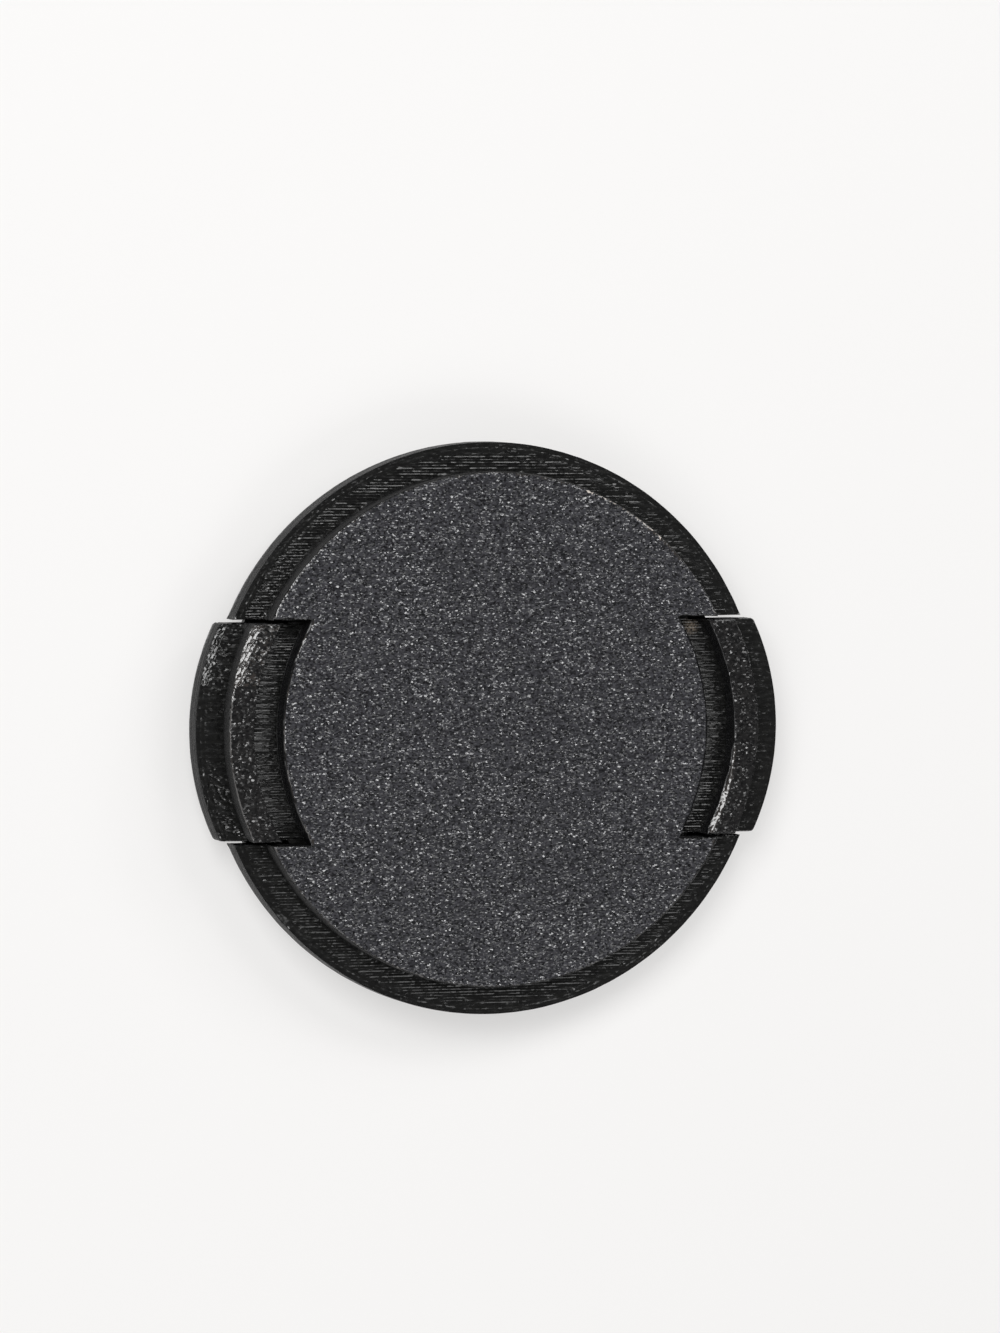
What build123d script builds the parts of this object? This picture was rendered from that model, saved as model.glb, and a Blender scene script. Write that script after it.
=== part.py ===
"""Edge-pinch camera lens cap: a printed cover, two sprung release tabs and a rear plate.

The cap lies on its back. The origin is on the cap's axis in the rear face, +Z points out of the front face
and the tabs slide along X.
"""

import os
from math import sqrt

from build123d import *

# Lens thread that the cap clips into
filter_thread = 52.0
thread_pitch = 0.75
thread_clearance = 0.1
boss_clearance = 0.7

# Front cover
flange_overlap = 1.0
flange_thickness = 2.5
ledge_width = 2.75
face_height = 2.5
face_edge_break = 0.15
boss_depth = 3.0
boss_wall = 3.0
rib_thickness = 1.5
post_diameter = 4.0
post_margin = 0.8
post_angle = 64.0
spigot_diameter = 2.0

# Rear plate
rear_plate_thickness = 1.2
rear_plate_inset = 0.4
rear_plate_lead_in = 0.3
spigot_clearance = 0.05

# Release tabs
tab_width = 20.4
tab_corner_radius = 0.5
recess_depth = 3.45
finger_gap = 2.6
crest_width = 2.5
tab_ledge = 2.6
tab_inner_end = 11.5
ear_width = 2.4
seat_width = 6.4
seat_depth = 3.0

# Thread catches under the tabs
catch_angle = 44.0
catch_wall = 2.2
tooth_height = 0.45
tooth_count = 2
tooth_crest = 0.1

# Running clearances
side_clearance = 0.25
guide_clearance = 0.3
slide_clearance = 0.2
stop_clearance = 0.2
seat_clearance = 0.05

# Return springs
spring_diameter = 3.4
wire_diameter = 0.4
wire_flat_count = 5
spring_turns = 5
abutment_length = 5.0
peg_length = 1.8
peg_clearance = 0.2

# Radii of the cover, worked out from the thread
cap_radius = filter_thread / 2 + flange_overlap
face_radius = cap_radius - ledge_width
boss_radius = filter_thread / 2 - boss_clearance
cavity_radius = boss_radius - boss_wall
recess_radius = face_radius - recess_depth
notch_half_width = tab_width / 2 + side_clearance

# Heights above the rear face
seat_level = boss_depth
ledge_level = seat_level + flange_thickness
face_level = ledge_level + face_height
ceiling_level = ledge_level + slide_clearance
plate_level = rear_plate_thickness
runner_level = plate_level + slide_clearance
spring_level = (plate_level + ceiling_level) / 2

# Arcs of a release tab, all with their centres on the X axis
crest_inner_radius = recess_radius
crest_outer_radius = crest_inner_radius + crest_width
tab_outer_centre = finger_gap + tab_ledge
tab_reach = tab_outer_centre + crest_outer_radius

# Guides and spring seats
channel_half_width = tab_width / 2 + ear_width + guide_clearance
rib_half_length = sqrt(cavity_radius**2 - channel_half_width**2)
post_circle = cavity_radius - post_margin - post_diameter / 2
peg_diameter = spring_diameter - 2 * wire_diameter - 2 * peg_clearance
abutment_face = abutment_length / 2

# Four posts, one in each quarter between the guide ribs and the boss ring
post_angles = [post_angle, 180 - post_angle, 180 + post_angle, 360 - post_angle]

os.makedirs("parts", exist_ok=True)


# Front cover: stepped face, flange and boss ring turned as one section, then notched for the tabs
with BuildPart() as front_cover:
    with BuildSketch(Plane.XZ) as half_section:
        with BuildLine():
            Polyline(
                (0, ceiling_level),
                (cavity_radius, ceiling_level),
                (cavity_radius, plate_level),
                (boss_radius, plate_level),
                (boss_radius, seat_level),
                (cap_radius, seat_level),
                (cap_radius, ledge_level),
                (face_radius, ledge_level),
                (face_radius, face_level),
                (0, face_level),
                close=True,
            )
        make_face()
    revolve(axis=Axis.Z)

    # Each notch runs right through and leaves the round wall of the finger recess under the face
    with BuildSketch(Plane.XY.offset(plate_level)) as notches:
        Rectangle(2 * tab_reach, 2 * notch_half_width)
        Circle(recess_radius, mode=Mode.SUBTRACT)
    extrude(amount=face_level - plate_level, mode=Mode.SUBTRACT)
    chamfer(front_cover.faces().sort_by(Axis.Z)[-1].edges(), face_edge_break)

    # Ribs that guide the tabs' ears, ending in the boss ring
    with BuildSketch(Plane.XY.offset(plate_level)) as guide_ribs:
        rib_offset = channel_half_width + rib_thickness / 2
        with GridLocations(0, 2 * rib_offset, 1, 2):
            Rectangle(2 * rib_half_length, rib_thickness)
    extrude(amount=ceiling_level - plate_level)

    # Block in the middle that both springs push against, with a peg on each side
    with BuildSketch(Plane.XY.offset(plate_level)) as abutment:
        Rectangle(abutment_length, seat_width)
    extrude(amount=ceiling_level - plate_level)
    with BuildSketch(Plane.YZ) as spring_pegs:
        with Locations((0, spring_level)):
            Circle(peg_diameter / 2)
    extrude(amount=abutment_face + peg_length, both=True)

    # Posts with spigots that hold the rear plate
    for angle in post_angles:
        with BuildSketch(Plane.XY.offset(plate_level)) as post:
            with PolarLocations(post_circle, 1, start_angle=angle):
                Circle(post_diameter / 2)
        extrude(amount=ceiling_level - plate_level)
        with BuildSketch(Plane.XY) as spigot:
            with PolarLocations(post_circle, 1, start_angle=angle):
                Circle(spigot_diameter / 2)
        extrude(amount=plate_level)

front_cover.part.label = "front_cover"
export_step(front_cover.part, "parts/front_cover.step")


# Rear plate: closes the boss, bored for the posts' spigots, with a lead-in for the lens ring
with BuildPart() as rear_plate:
    with BuildSketch() as plate_outline:
        Circle(boss_radius - rear_plate_inset)
        for angle in post_angles:
            with PolarLocations(post_circle, 1, start_angle=angle):
                Circle(spigot_diameter / 2 + spigot_clearance, mode=Mode.SUBTRACT)
    extrude(amount=rear_plate_thickness)
    rear_rim = rear_plate.faces().sort_by(Axis.Z)[0].outer_wire().edges()
    chamfer(rear_rim, rear_plate_lead_in)

rear_plate.part.label = "rear_plate"
export_step(rear_plate.part, "parts/rear_plate.step")


# Right release tab: sliding base with stop ears, finger crest, spring seat and thread catch
with BuildPart() as right_release_tab:
    # Base plate, level with the flange, ending outside in the tab's own arc
    with BuildSketch(Plane.XY.offset(seat_level)) as base_outline:
        with Locations((tab_inner_end, 0)):
            Rectangle(tab_reach, tab_width, align=(Align.MIN, Align.CENTER))
        with Locations((tab_outer_centre, 0)):
            Circle(crest_outer_radius, mode=Mode.INTERSECT)
        fillet(base_outline.vertices().group_by(Axis.X)[-1], tab_corner_radius)
    extrude(amount=flange_thickness)

    # Ears inside the cover, which stop the tab against the boss ring
    with BuildSketch(Plane.XY.offset(seat_level)) as ears:
        with Locations((tab_inner_end, 0)):
            Rectangle(
                cavity_radius,
                tab_width + 2 * ear_width,
                align=(Align.MIN, Align.CENTER),
            )
        Circle(cavity_radius - stop_clearance, mode=Mode.INTERSECT)
    extrude(amount=flange_thickness)

    # Crest, its inner face shaped to meet the wall of the finger recess
    with BuildSketch(Plane.XY.offset(ledge_level)) as crest:
        with Locations((finger_gap, 0)):
            Circle(crest_outer_radius)
            Circle(crest_inner_radius, mode=Mode.SUBTRACT)
        with Locations((tab_inner_end, 0)):
            Rectangle(
                tab_reach,
                tab_width,
                align=(Align.MIN, Align.CENTER),
                mode=Mode.INTERSECT,
            )
    extrude(amount=face_height)
    crest_top = right_release_tab.faces().sort_by(Axis.Z)[-1]
    chamfer(crest_top.edges(), face_edge_break)

    # Seat and peg for the spring
    with BuildSketch(Plane.XY.offset(runner_level)) as spring_seat:
        with Locations((tab_inner_end, 0)):
            Rectangle(seat_depth, seat_width, align=(Align.MIN, Align.CENTER))
    extrude(amount=ledge_level - runner_level)
    with BuildSketch(Plane.YZ.offset(tab_inner_end - peg_length)) as seat_peg:
        with Locations((0, spring_level)):
            Circle(peg_diameter / 2)
    extrude(amount=peg_length + seat_depth)

    # Catch: a wall hung under the base with teeth of the lens thread's pitch on its outside
    tooth_tip = filter_thread / 2 - thread_clearance
    tooth_root = tooth_tip - tooth_height
    tooth_flank = (thread_pitch - tooth_crest) / 2
    with BuildSketch(Plane.XZ.rotated((0, 0, -catch_angle / 2))) as catch_section:
        with BuildLine():
            catch_points = [
                (tooth_root - catch_wall, seat_level),
                (tooth_root - catch_wall, runner_level),
                (tooth_root, runner_level),
            ]
            for tooth in range(tooth_count):
                tooth_top = seat_level - (tooth_count - 1 - tooth) * thread_pitch
                catch_points += [
                    (tooth_root, tooth_top - thread_pitch),
                    (tooth_tip, tooth_top - thread_pitch + tooth_flank),
                    (tooth_tip, tooth_top - tooth_flank),
                ]
            catch_points.append((tooth_root, seat_level))
            Polyline(catch_points, close=True)
        make_face()
    revolve(axis=Axis.Z, revolution_arc=catch_angle)

right_release_tab.part.label = "right_release_tab"
export_step(right_release_tab.part, "parts/right_release_tab.step")


# Left release tab: the same piece turned half a turn about the cap's axis
with BuildPart() as left_release_tab:
    add(right_release_tab.part, rotation=(0, 0, 180))

left_release_tab.part.label = "left_release_tab"
export_step(left_release_tab.part, "parts/left_release_tab.step")


# Right return spring: a coil between the abutment and the tab's seat, its thin wire drawn with a few flats
spring_start = abutment_face + wire_diameter / 2 + seat_clearance
spring_end = tab_inner_end - wire_diameter / 2 - seat_clearance
spring_length = spring_end - spring_start
with BuildPart() as right_return_spring:
    with BuildLine() as coil:
        Helix(
            pitch=spring_length / spring_turns,
            height=spring_length,
            radius=(spring_diameter - wire_diameter) / 2,
            center=(spring_start, 0, spring_level),
            direction=(1, 0, 0),
        )
    with BuildSketch(Plane(origin=coil.line @ 0, z_dir=coil.line % 0)) as wire_section:
        RegularPolygon(wire_diameter / 2, wire_flat_count)
    sweep(path=coil.line, is_frenet=True)

right_return_spring.part.label = "right_return_spring"
export_step(right_return_spring.part, "parts/right_return_spring.step")


# Left return spring: the same coil turned half a turn about the cap's axis
with BuildPart() as left_return_spring:
    add(right_return_spring.part, rotation=(0, 0, 180))

left_return_spring.part.label = "left_return_spring"
export_step(left_return_spring.part, "parts/left_return_spring.step")
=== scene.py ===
"""Dress a printed edge-pinch lens cap in its own surfaces and set it in a plain studio.

The cap lies on its back. Its front lay on a textured build plate while it was printed, so the front is
pebbled, the ledges show straight lines of filament and the upright walls show stacked layers. All of that
is modelled: each piece is a closed skin worked out in millimetres and written to its mesh in metres.
"""

import itertools
import logging
import math
from dataclasses import dataclass, field, replace
from enum import Enum, IntEnum
from typing import Callable, Sequence

import bmesh
import bpy
import numpy as np
from mathutils import Matrix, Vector
from mathutils.geometry import delaunay_2d_cdt

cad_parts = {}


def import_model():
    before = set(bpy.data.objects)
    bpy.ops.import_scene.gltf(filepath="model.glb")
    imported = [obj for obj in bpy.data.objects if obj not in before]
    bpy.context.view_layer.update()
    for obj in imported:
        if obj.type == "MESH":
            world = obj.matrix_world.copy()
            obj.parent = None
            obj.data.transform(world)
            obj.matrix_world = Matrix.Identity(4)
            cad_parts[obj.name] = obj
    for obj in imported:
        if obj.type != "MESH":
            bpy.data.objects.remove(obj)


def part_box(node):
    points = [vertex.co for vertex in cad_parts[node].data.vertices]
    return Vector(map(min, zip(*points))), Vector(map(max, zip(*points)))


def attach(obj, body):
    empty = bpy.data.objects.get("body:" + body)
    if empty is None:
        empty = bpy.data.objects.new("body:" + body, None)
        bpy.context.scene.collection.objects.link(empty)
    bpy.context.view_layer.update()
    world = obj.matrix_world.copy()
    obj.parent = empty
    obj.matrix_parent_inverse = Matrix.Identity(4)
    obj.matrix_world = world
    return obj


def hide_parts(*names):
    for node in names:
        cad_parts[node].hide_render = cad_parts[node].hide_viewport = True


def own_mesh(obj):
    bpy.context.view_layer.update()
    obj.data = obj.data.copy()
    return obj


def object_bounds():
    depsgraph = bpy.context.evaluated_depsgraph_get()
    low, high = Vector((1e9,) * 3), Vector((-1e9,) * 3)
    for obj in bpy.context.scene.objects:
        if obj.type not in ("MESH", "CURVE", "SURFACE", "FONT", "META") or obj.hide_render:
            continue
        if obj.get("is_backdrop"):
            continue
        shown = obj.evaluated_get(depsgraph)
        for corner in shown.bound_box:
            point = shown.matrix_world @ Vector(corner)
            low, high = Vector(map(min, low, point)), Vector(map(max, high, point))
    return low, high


MM = 0.001
IMAGE_SIZE = (1000, 1333)
LOG = logging.getLogger("lens_cap")

# Least difference that counts, in mm
TINY = 1e-6
# Points that round to the same part of a millimetre are one
POINTS_PER_MM = 1e4
# Edges that are sharper than this, in degrees, stay sharp
SHARP_ANGLE = 50.0
# How far the points inside a patch keep from its edges, in mm
FINE_GAP, GAP, WIDE_GAP = 0.05, 0.1, 0.12
# Triangulation: only what the outlines enclose, and the distance in mm at which points are one
FILL_MODE, FILL_MERGE = 1, 1e-7
# Colour sockets of a Mix node: its two inputs and its result
MIX_FIRST, MIX_SECOND, MIX_RESULT = 6, 7, 2
# What turns a piece into its twin on the other side of the cap
HALF_TURN = (-1.0, -1.0, 1.0)
# Numbers that stir a cell's coordinates into a random number
HASH_PRIMES = np.array([73856093, 19349663, 83492791], dtype=np.uint32)
HASH_SEED = (40503, 977)
HASH_STIRS = ((15, 2246822519), (13, 3266489917))
# Turns the fine grain against the coarse one
CROSS_GRAIN = np.array([[0.8, 0.6], [-0.6, 0.8]])

# Places have shape (n, 2) and values at them shape (n,), unless a docstring says otherwise
Array = np.ndarray
Relief = Callable[[Array], Array]
Depth = Callable[[Array, Array], Array]
Materials = Sequence[bpy.types.Material]
Tree = bpy.types.NodeTree
Socket = bpy.types.NodeSocket


class Surface(Enum):
    """How a stretch of surface was left, and where a highlight is painted on. The value is its place in the
    list of print finishes.
    """

    PLATE = 0
    FILL = 1
    WALL = 2
    CREST = 3
    RUBBED = 4
    # A pale line painted on as a highlight along part of the face's edge
    PAINTED_HIGHLIGHT_LINE = 5


class Pattern(IntEnum):
    """Seeds of the random patterns on the cover and the rear plate."""

    FACE_GRAIN = 11
    FACE_FALL = 15
    RAGGED_EDGE = 16
    # Wander of the painted highlight's width along the face's edge
    PAINTED_HIGHLIGHT_WANDER = 17
    RIGHT_RECESS = 21
    LEFT_RECESS = 25
    LEDGE_FILL = 31
    LEDGE_LINES = 35
    LEDGE_SPECKS = 36
    FACE_WALL = 41
    FLANGE_WALL = 51
    BOSS_WALL = 61
    NOTCH_SIDE = 71
    REAR_GRAIN = 91


class TabPattern(IntEnum):
    """What is added to a tab's own seed for each of its random patterns."""

    CREST_GRAIN = 0
    CREST_FALL = 5
    WORN_WIDTH = 7
    PITS = 9
    OUTER_WALL = 10
    INNER_WALL = 20
    FILL = 31
    LEDGE_SPECKS = 33
    LEDGE_SCORES = 34
    CREST_SCORES = 35
    RIM_WALL = 40
    FLANK = 50


# Number patterns


def random_share(cells: Array, seed: int) -> Array:
    """Give every whole-numbered cell its own random number.

    Formula: the cell's coordinates are multiplied by large primes, combined bit by bit and stirred twice,
    and the upper 24 bits are read as a fraction of one.

    Args:
        cells: Whole numbers, shape (..., axes).
        seed: A number that picks the pattern.

    Returns:
        Numbers from 0 to 1, shape (...).
    """
    primes = HASH_PRIMES[: cells.shape[-1]]
    mixed = np.bitwise_xor.reduce(cells.astype(np.int64).astype(np.uint32) * primes, axis=-1)
    mixed = mixed + np.array(seed * HASH_SEED[0] + HASH_SEED[1], dtype=np.uint32)
    for shift, factor in 2 * HASH_STIRS:
        mixed = (mixed ^ (mixed >> np.uint32(shift))) * np.array(factor, dtype=np.uint32)
    return (mixed >> np.uint32(8)) / float(1 << 24)


def ease(share: Array) -> Array:
    """S-shaped ease from 0 to 1: three times the square less twice the cube."""
    return share * share * (3 - 2 * share)


def fade(distance: Array, width: float) -> Array:
    """Share that grows evenly from 0 at no distance to 1 at the width."""
    return np.clip(distance / width, 0, 1)


def between(values: Array, limits: Sequence[float]) -> Array:
    """Say which values lie between two limits."""
    return (values > limits[0]) & (values < limits[1])


def smooth_noise(points: Array, cell: float, seed: int) -> Array:
    """Noise that changes smoothly over one cell.

    Formula: each corner of a square lattice has a random height, and a point takes the mean of its cell's
    corners, weighted by an S-shaped ease along each axis.

    Args:
        points: Places, shape (..., axes).
        cell: Size of a lattice cell, in the units of the points.
        seed: A number that picks the pattern.

    Returns:
        Heights from -1 to 1, shape (...).
    """
    scaled = points / cell
    base = np.floor(scaled)
    share = ease(scaled - base)
    total = np.zeros(points.shape[:-1])
    for corner in itertools.product((0, 1), repeat=points.shape[-1]):
        weight = np.prod(np.where(corner, share, 1 - share), axis=-1)
        total += weight * random_share(base + corner, seed)
    return 2 * total - 1


def across_line(position: Array, pitch: float) -> Array:
    """Place across a line of filament: 0 along its middle, and -1 and 1 in the grooves beside it."""
    return 2 * (position / pitch - np.floor(position / pitch)) - 1


def bead(position: Array, pitch: float) -> Array:
    """Height of lines laid side by side: a half ellipse, 0 in the groove and 1 along the line's middle."""
    return np.sqrt(np.clip(1 - across_line(position, pitch) ** 2, 0, 1))


def ridge(position: Array, pitch: float, power: float = 1.4) -> Array:
    """Height of lines that overlap like low roofs: 1 less a power of the distance from the line's middle."""
    return 1 - np.abs(across_line(position, pitch)) ** power


# Outlines in a plane


def unit(angle: Array) -> Array:
    """Points on the unit circle: cosine and sine of angles in radians."""
    return np.column_stack([np.cos(angle), np.sin(angle)])


def from_axis(points: Array, centre: float = 0.0) -> Array:
    """Distances of places from a centre on the X axis."""
    return np.hypot(points[:, 0] - centre, points[:, 1])


def bearing(points: Array) -> Array:
    """Angles of places about the cap's axis, in degrees from X."""
    return np.degrees(np.arctan2(points[:, 1], points[:, 0]))


def lean(height: float, radius: float) -> float:
    """Angle in degrees at which a circle about the X axis reaches a height: the arc sine of their ratio."""
    return math.degrees(math.asin(height / radius))


def arc(radius: float, start: float, end: float, step: float, centre: float = 0.0) -> Array:
    """Arc about a centre on X: radius times (cosine, sine) of even angles in degrees, both ends included."""
    count = max(2, math.ceil(math.radians(abs(end - start)) * radius / step) + 1)
    return unit(np.radians(np.linspace(start, end, count))) * radius + (centre, 0.0)


def segment(start: Sequence[float], end: Sequence[float], step: float) -> Array:
    """Points along a straight line, both ends included, at most step apart."""
    return np.linspace(start, end, max(2, math.ceil(math.dist(start, end) / step) + 1))


def divided(stops: Sequence[float], step: float) -> Array:
    """Rising numbers through all stops, evenly spaced between neighbours and at most step apart."""
    runs = [segment((first, 0), (last, 0), step)[:-1, 0] for first, last in zip(stops, stops[1:])]
    return np.concatenate([*runs, stops[-1:]])


def level_line(x: Array, level: float) -> Array:
    """Points at the given x values on one level."""
    return np.column_stack([x, np.full(len(x), level)])


def plumb_line(x: float, levels: Array) -> Array:
    """Points at one x on the given levels."""
    return np.column_stack([np.full(len(levels), x), levels])


def circle(radius: float, count: int, centre: Sequence[float] = (0.0, 0.0)) -> Array:
    """Closed circle: the centre plus radius times (cosine, sine) of evenly spaced angles."""
    return unit(np.linspace(0, 2 * math.pi, count, endpoint=False)) * radius + np.asarray(centre)


def box_outline(low: Sequence[float], high: Sequence[float]) -> Array:
    """Closed outline of an upright rectangle between two corners."""
    return np.array([(low[0], low[1]), (high[0], low[1]), (high[0], high[1]), (low[0], high[1])])


def closed(*runs: Array) -> Array:
    """Join runs end to end into a closed outline that holds each meeting point once."""
    return np.concatenate([run[:-1] for run in runs])


def lattice(reach: Sequence[float], step: Sequence[float], staggered: bool = False) -> Array:
    """Points on a rectangular grid about the origin.

    Formula: x and y are whole numbers of steps, and with staggered every second row is moved by half a step.

    Args:
        reach: How far the grid goes from the origin along x and y, in mm.
        step: Spacing along x and y, in mm.
        staggered: True for a grid of near-equal triangles.

    Returns:
        Points.
    """
    counts = [math.ceil(far / one) for far, one in zip(reach, step)]
    columns, rows = (np.arange(-count, count + 1) for count in counts)
    x, y = np.meshgrid(columns.astype(float), rows, indexing="ij")
    if staggered:
        x = x + 0.5 * (rows % 2)
    return np.column_stack([x.ravel() * step[0], y.ravel() * step[1]])


def depth_within(points: Array, outline: Array) -> Array:
    """How far points lie inside a closed outline.

    Formula: a ray to the right of an inner point crosses the outline an odd number of times. The distance is
    the shortest way to a foot on an edge, clamped to the edge's ends.

    Args:
        points: Places.
        outline: Closed outline, shape (m, 2).

    Returns:
        Distances from the outline, shape (n,), below 0 outside it.
    """
    run = np.roll(outline, -1, axis=0) - outline
    x, y = points[:, :1], points[:, 1:]
    straddles = (outline[:, 1] > y) != (np.roll(outline[:, 1], -1) > y)
    rise = np.where(run[:, 1] == 0, 1.0, run[:, 1])
    crossing = run[:, 0] * (y - outline[:, 1]) / rise + outline[:, 0]
    is_inside = np.sum(straddles & (x < crossing), axis=1) % 2 == 1
    away = points[:, None, :] - outline
    share = np.clip(np.sum(away * run, axis=2) / np.sum(run * run, axis=1), 0, 1)
    distance = np.linalg.norm(away - share[..., None] * run, axis=2).min(axis=1)
    return np.where(is_inside, distance, -distance)


def inner_rows(outline: Array, levels: Array, step: float) -> Array:
    """Points inside an upright outline, on the wall's own rows.

    Formula: a grid of even steps along u by the levels, less what lies outside or close to the edge.

    Args:
        outline: Closed edge in (u, z).
        levels: Heights of the rows.
        step: Spacing along u in mm.

    Returns:
        Points in (u, z).
    """
    low, high = outline[:, 0].min(), outline[:, 0].max()
    u, z = np.meshgrid(np.arange(low + step / 2, high, step), levels, indexing="ij")
    points = np.column_stack([u.ravel(), z.ravel()])
    return points[depth_within(points, outline) > FINE_GAP]


def sense(outline: Array) -> int:
    """1 for a counter-clockwise outline and -1 for a clockwise one, by the sign of its area."""
    after = np.roll(outline, -1, axis=0)
    return 1 if np.sum(outline[:, 0] * after[:, 1] - outline[:, 1] * after[:, 0]) > 0 else -1


def fill(outline: Array, inner: Array | None = None, holes: Sequence[Array] = ()) -> tuple[Array, Array]:
    """Cover a flat region with triangles.

    Formula: a Delaunay triangulation that keeps the outlines' edges, without the triangles in the holes.

    Args:
        outline: Closed outer edge.
        inner: More points to use inside, or None.
        holes: Closed outlines that stay open.

    Returns:
        Points, shape (p, 2), and triangles, shape (t, 3), counter-clockwise.
    """
    loops = [outline, *holes]
    points = np.concatenate(loops if inner is None else [*loops, inner])
    ends = np.cumsum([len(one) for one in loops])
    rings = [np.arange(end - len(one), end)[:: sense(one)].tolist() for one, end in zip(loops, ends)]
    made = delaunay_2d_cdt(points.tolist(), [], rings, FILL_MODE, FILL_MERGE, True)
    vertices, _, triangles, _, _, owners = made
    if len(vertices) != len(points):
        LOG.warning("a region of %d points came out with %d", len(points), len(vertices))
    in_outline_only = np.array([one == [0] for one in owners])
    return points, np.array(triangles)[in_outline_only]


def split_quads(quads: Array) -> Array:
    """Two triangles for each four-cornered face."""
    return np.concatenate([quads[:, [0, 1, 2]], quads[:, [0, 2, 3]]])


def grid_triangles(columns: int, rows: int, wraps: bool) -> Array:
    """Triangles of a grid of points that is stored column by column.

    Formula: each cell of four neighbouring points is split in two, and the last column meets the first one
    where the grid wraps.

    Args:
        columns: Number of columns.
        rows: Number of points in a column.
        wraps: True where the grid closes on itself.

    Returns:
        Corners of each triangle, shape (t, 3).
    """
    column = np.arange(columns if wraps else columns - 1)[:, None]
    near = column * rows + np.arange(rows - 1)
    far = ((column + 1) % columns) * rows + np.arange(rows - 1)
    return split_quads(np.stack([near, far, far + 1, near + 1], axis=-1).reshape(-1, 4))


# A closed skin made of patches


class Skin:
    """Patches that share their edge points and become one closed mesh.

    Patches are placed by their ideal points, and each adds its own relief to them. Points of two patches
    that coincide are joined, and move by the sum of both reliefs, so an edge stays closed.
    """

    # How far below a top edge a wall follows the edge's fall, in mm
    fall_reach = 0.5

    def __init__(self) -> None:
        """Start with no patches."""
        self._points: list[Array] = []
        self._relief: list[Array] = []
        self._triangles: list[Array] = []
        self._surface: list[Array] = []
        self._count = 0

    def add(self, points: Array, triangles: Array, surface: Surface, relief: Array | None = None) -> None:
        """Keep one patch.

        Args:
            points: Ideal points in mm, shape (n, 3).
            triangles: Corners of each triangle, shape (t, 3).
            surface: How the patch was printed.
            relief: How far each point leaves its ideal place, shape (n, 3), or None for a plain patch.
        """
        self._points.append(points)
        self._relief.append(np.zeros_like(points) if relief is None else relief)
        self._triangles.append(triangles + self._count)
        self._surface.append(np.full(len(triangles), surface.value))
        self._count += len(points)

    def level(
        self, height: float, outline: Array, inner: Array | None = None,
        holes: Sequence[Array] = (), relief: Relief | None = None,
        surface: Surface = Surface.FILL, marked: Sequence[tuple[Surface, Relief]] = (),
    ) -> None:
        """Add a level patch.

        Formula: z is the height plus a relief that depends on x and y.

        Args:
            height: Level of the patch in mm.
            outline: Its closed edge.
            inner: Points inside the edge, for the relief.
            holes: Outlines left open.
            relief: Gives how far points stand above the level, in mm.
            surface: How it was printed.
            marked: Other surfaces, each with a test that says which places have it.
        """
        flat, triangles = fill(outline, inner, holes)
        points = np.column_stack([flat, np.full(len(flat), height)])
        shift = np.zeros_like(points)
        if relief is not None:
            shift[:, 2] = relief(flat)
        self.add(points, triangles, surface, shift)
        for other, covers in marked:
            self._surface[-1][covers(flat[triangles].mean(axis=1))] = other.value

    def wall(
        self, path: Array, levels: Sequence[float], depth: Depth | None = None,
        wraps: bool = False, side: float = 1.0, fall: Relief | None = None,
    ) -> None:
        """Add an upright wall.

        Formula: a grid of the path's points by the levels, moved along the path's own normal by a depth that
        depends on the distance along the path and on the level. Where the top edge falls, the rows close
        below it go down by a share of the fall, and the patch on top moves the edge itself.

        Args:
            path: Points of the wall seen from above.
            levels: Heights of its rows in mm.
            depth: Gives how far the skin stands out along the normal, in mm.
            wraps: True where the path closes on itself.
            side: 1 where the normal is to the right of the path, -1 where it is to the left.
            fall: Gives how far the top edge falls at the path's points, in mm.
        """
        levels = np.asarray(levels)
        if wraps:
            tangent = np.roll(path, -1, axis=0) - np.roll(path, 1, axis=0)
        else:
            tangent = np.gradient(path, axis=0)
        normal = side * np.column_stack([tangent[:, 1], -tangent[:, 0]])
        normal /= np.linalg.norm(normal, axis=1, keepdims=True)
        steps = np.linalg.norm(np.diff(path, axis=0), axis=1)
        along, height = np.meshgrid(np.concatenate([[0.0], np.cumsum(steps)]), levels, indexing="ij")
        points = np.empty((len(path), len(levels), 3))
        points[..., :2] = path[:, None, :]
        points[..., 2] = height
        shift = np.zeros_like(points)
        if depth is not None:
            shift[..., :2] = normal[:, None, :] * depth(along, height)[..., None]
        if fall is not None:
            shift[:, :-1, 2] = -fall(path)[:, None] * (1 - fade(levels[-1] - levels[:-1], self.fall_reach))
        triangles = grid_triangles(len(path), len(levels), wraps)
        self.add(points.reshape(-1, 3), triangles, Surface.WALL, shift.reshape(-1, 3))

    def upright(
        self, origin: Sequence[float], direction: Sequence[float], outline: Array,
        inner: Array | None = None, holes: Sequence[Array] = (),
        depth: Depth | None = None, side: float = 1.0,
    ) -> None:
        """Add a flat upright patch of wall.

        Formula: a point (u, z) of the outline's plane stands at origin + u times direction, at height z, and
        moves along the normal to the right of the direction.

        Args:
            origin: X and y where u is 0, in mm.
            direction: Unit vector along u.
            outline: Closed edge in (u, z).
            inner: Points inside the edge.
            holes: Outlines left open.
            depth: Gives how far the skin stands out along the normal, in mm.
            side: 1 where the normal is to the right of the direction, -1 where it is to the left.
        """
        flat, triangles = fill(outline, inner, holes)
        ahead = np.asarray(direction, dtype=float)
        points = np.column_stack([np.asarray(origin) + flat[:, :1] * ahead, flat[:, 1]])
        shift = np.zeros_like(points)
        if depth is not None:
            normal = side * np.array([ahead[1], -ahead[0]])
            shift[:, :2] = depth(flat[:, 0], flat[:, 1])[:, None] * normal
        self.add(points, triangles, Surface.WALL, shift)

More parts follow.
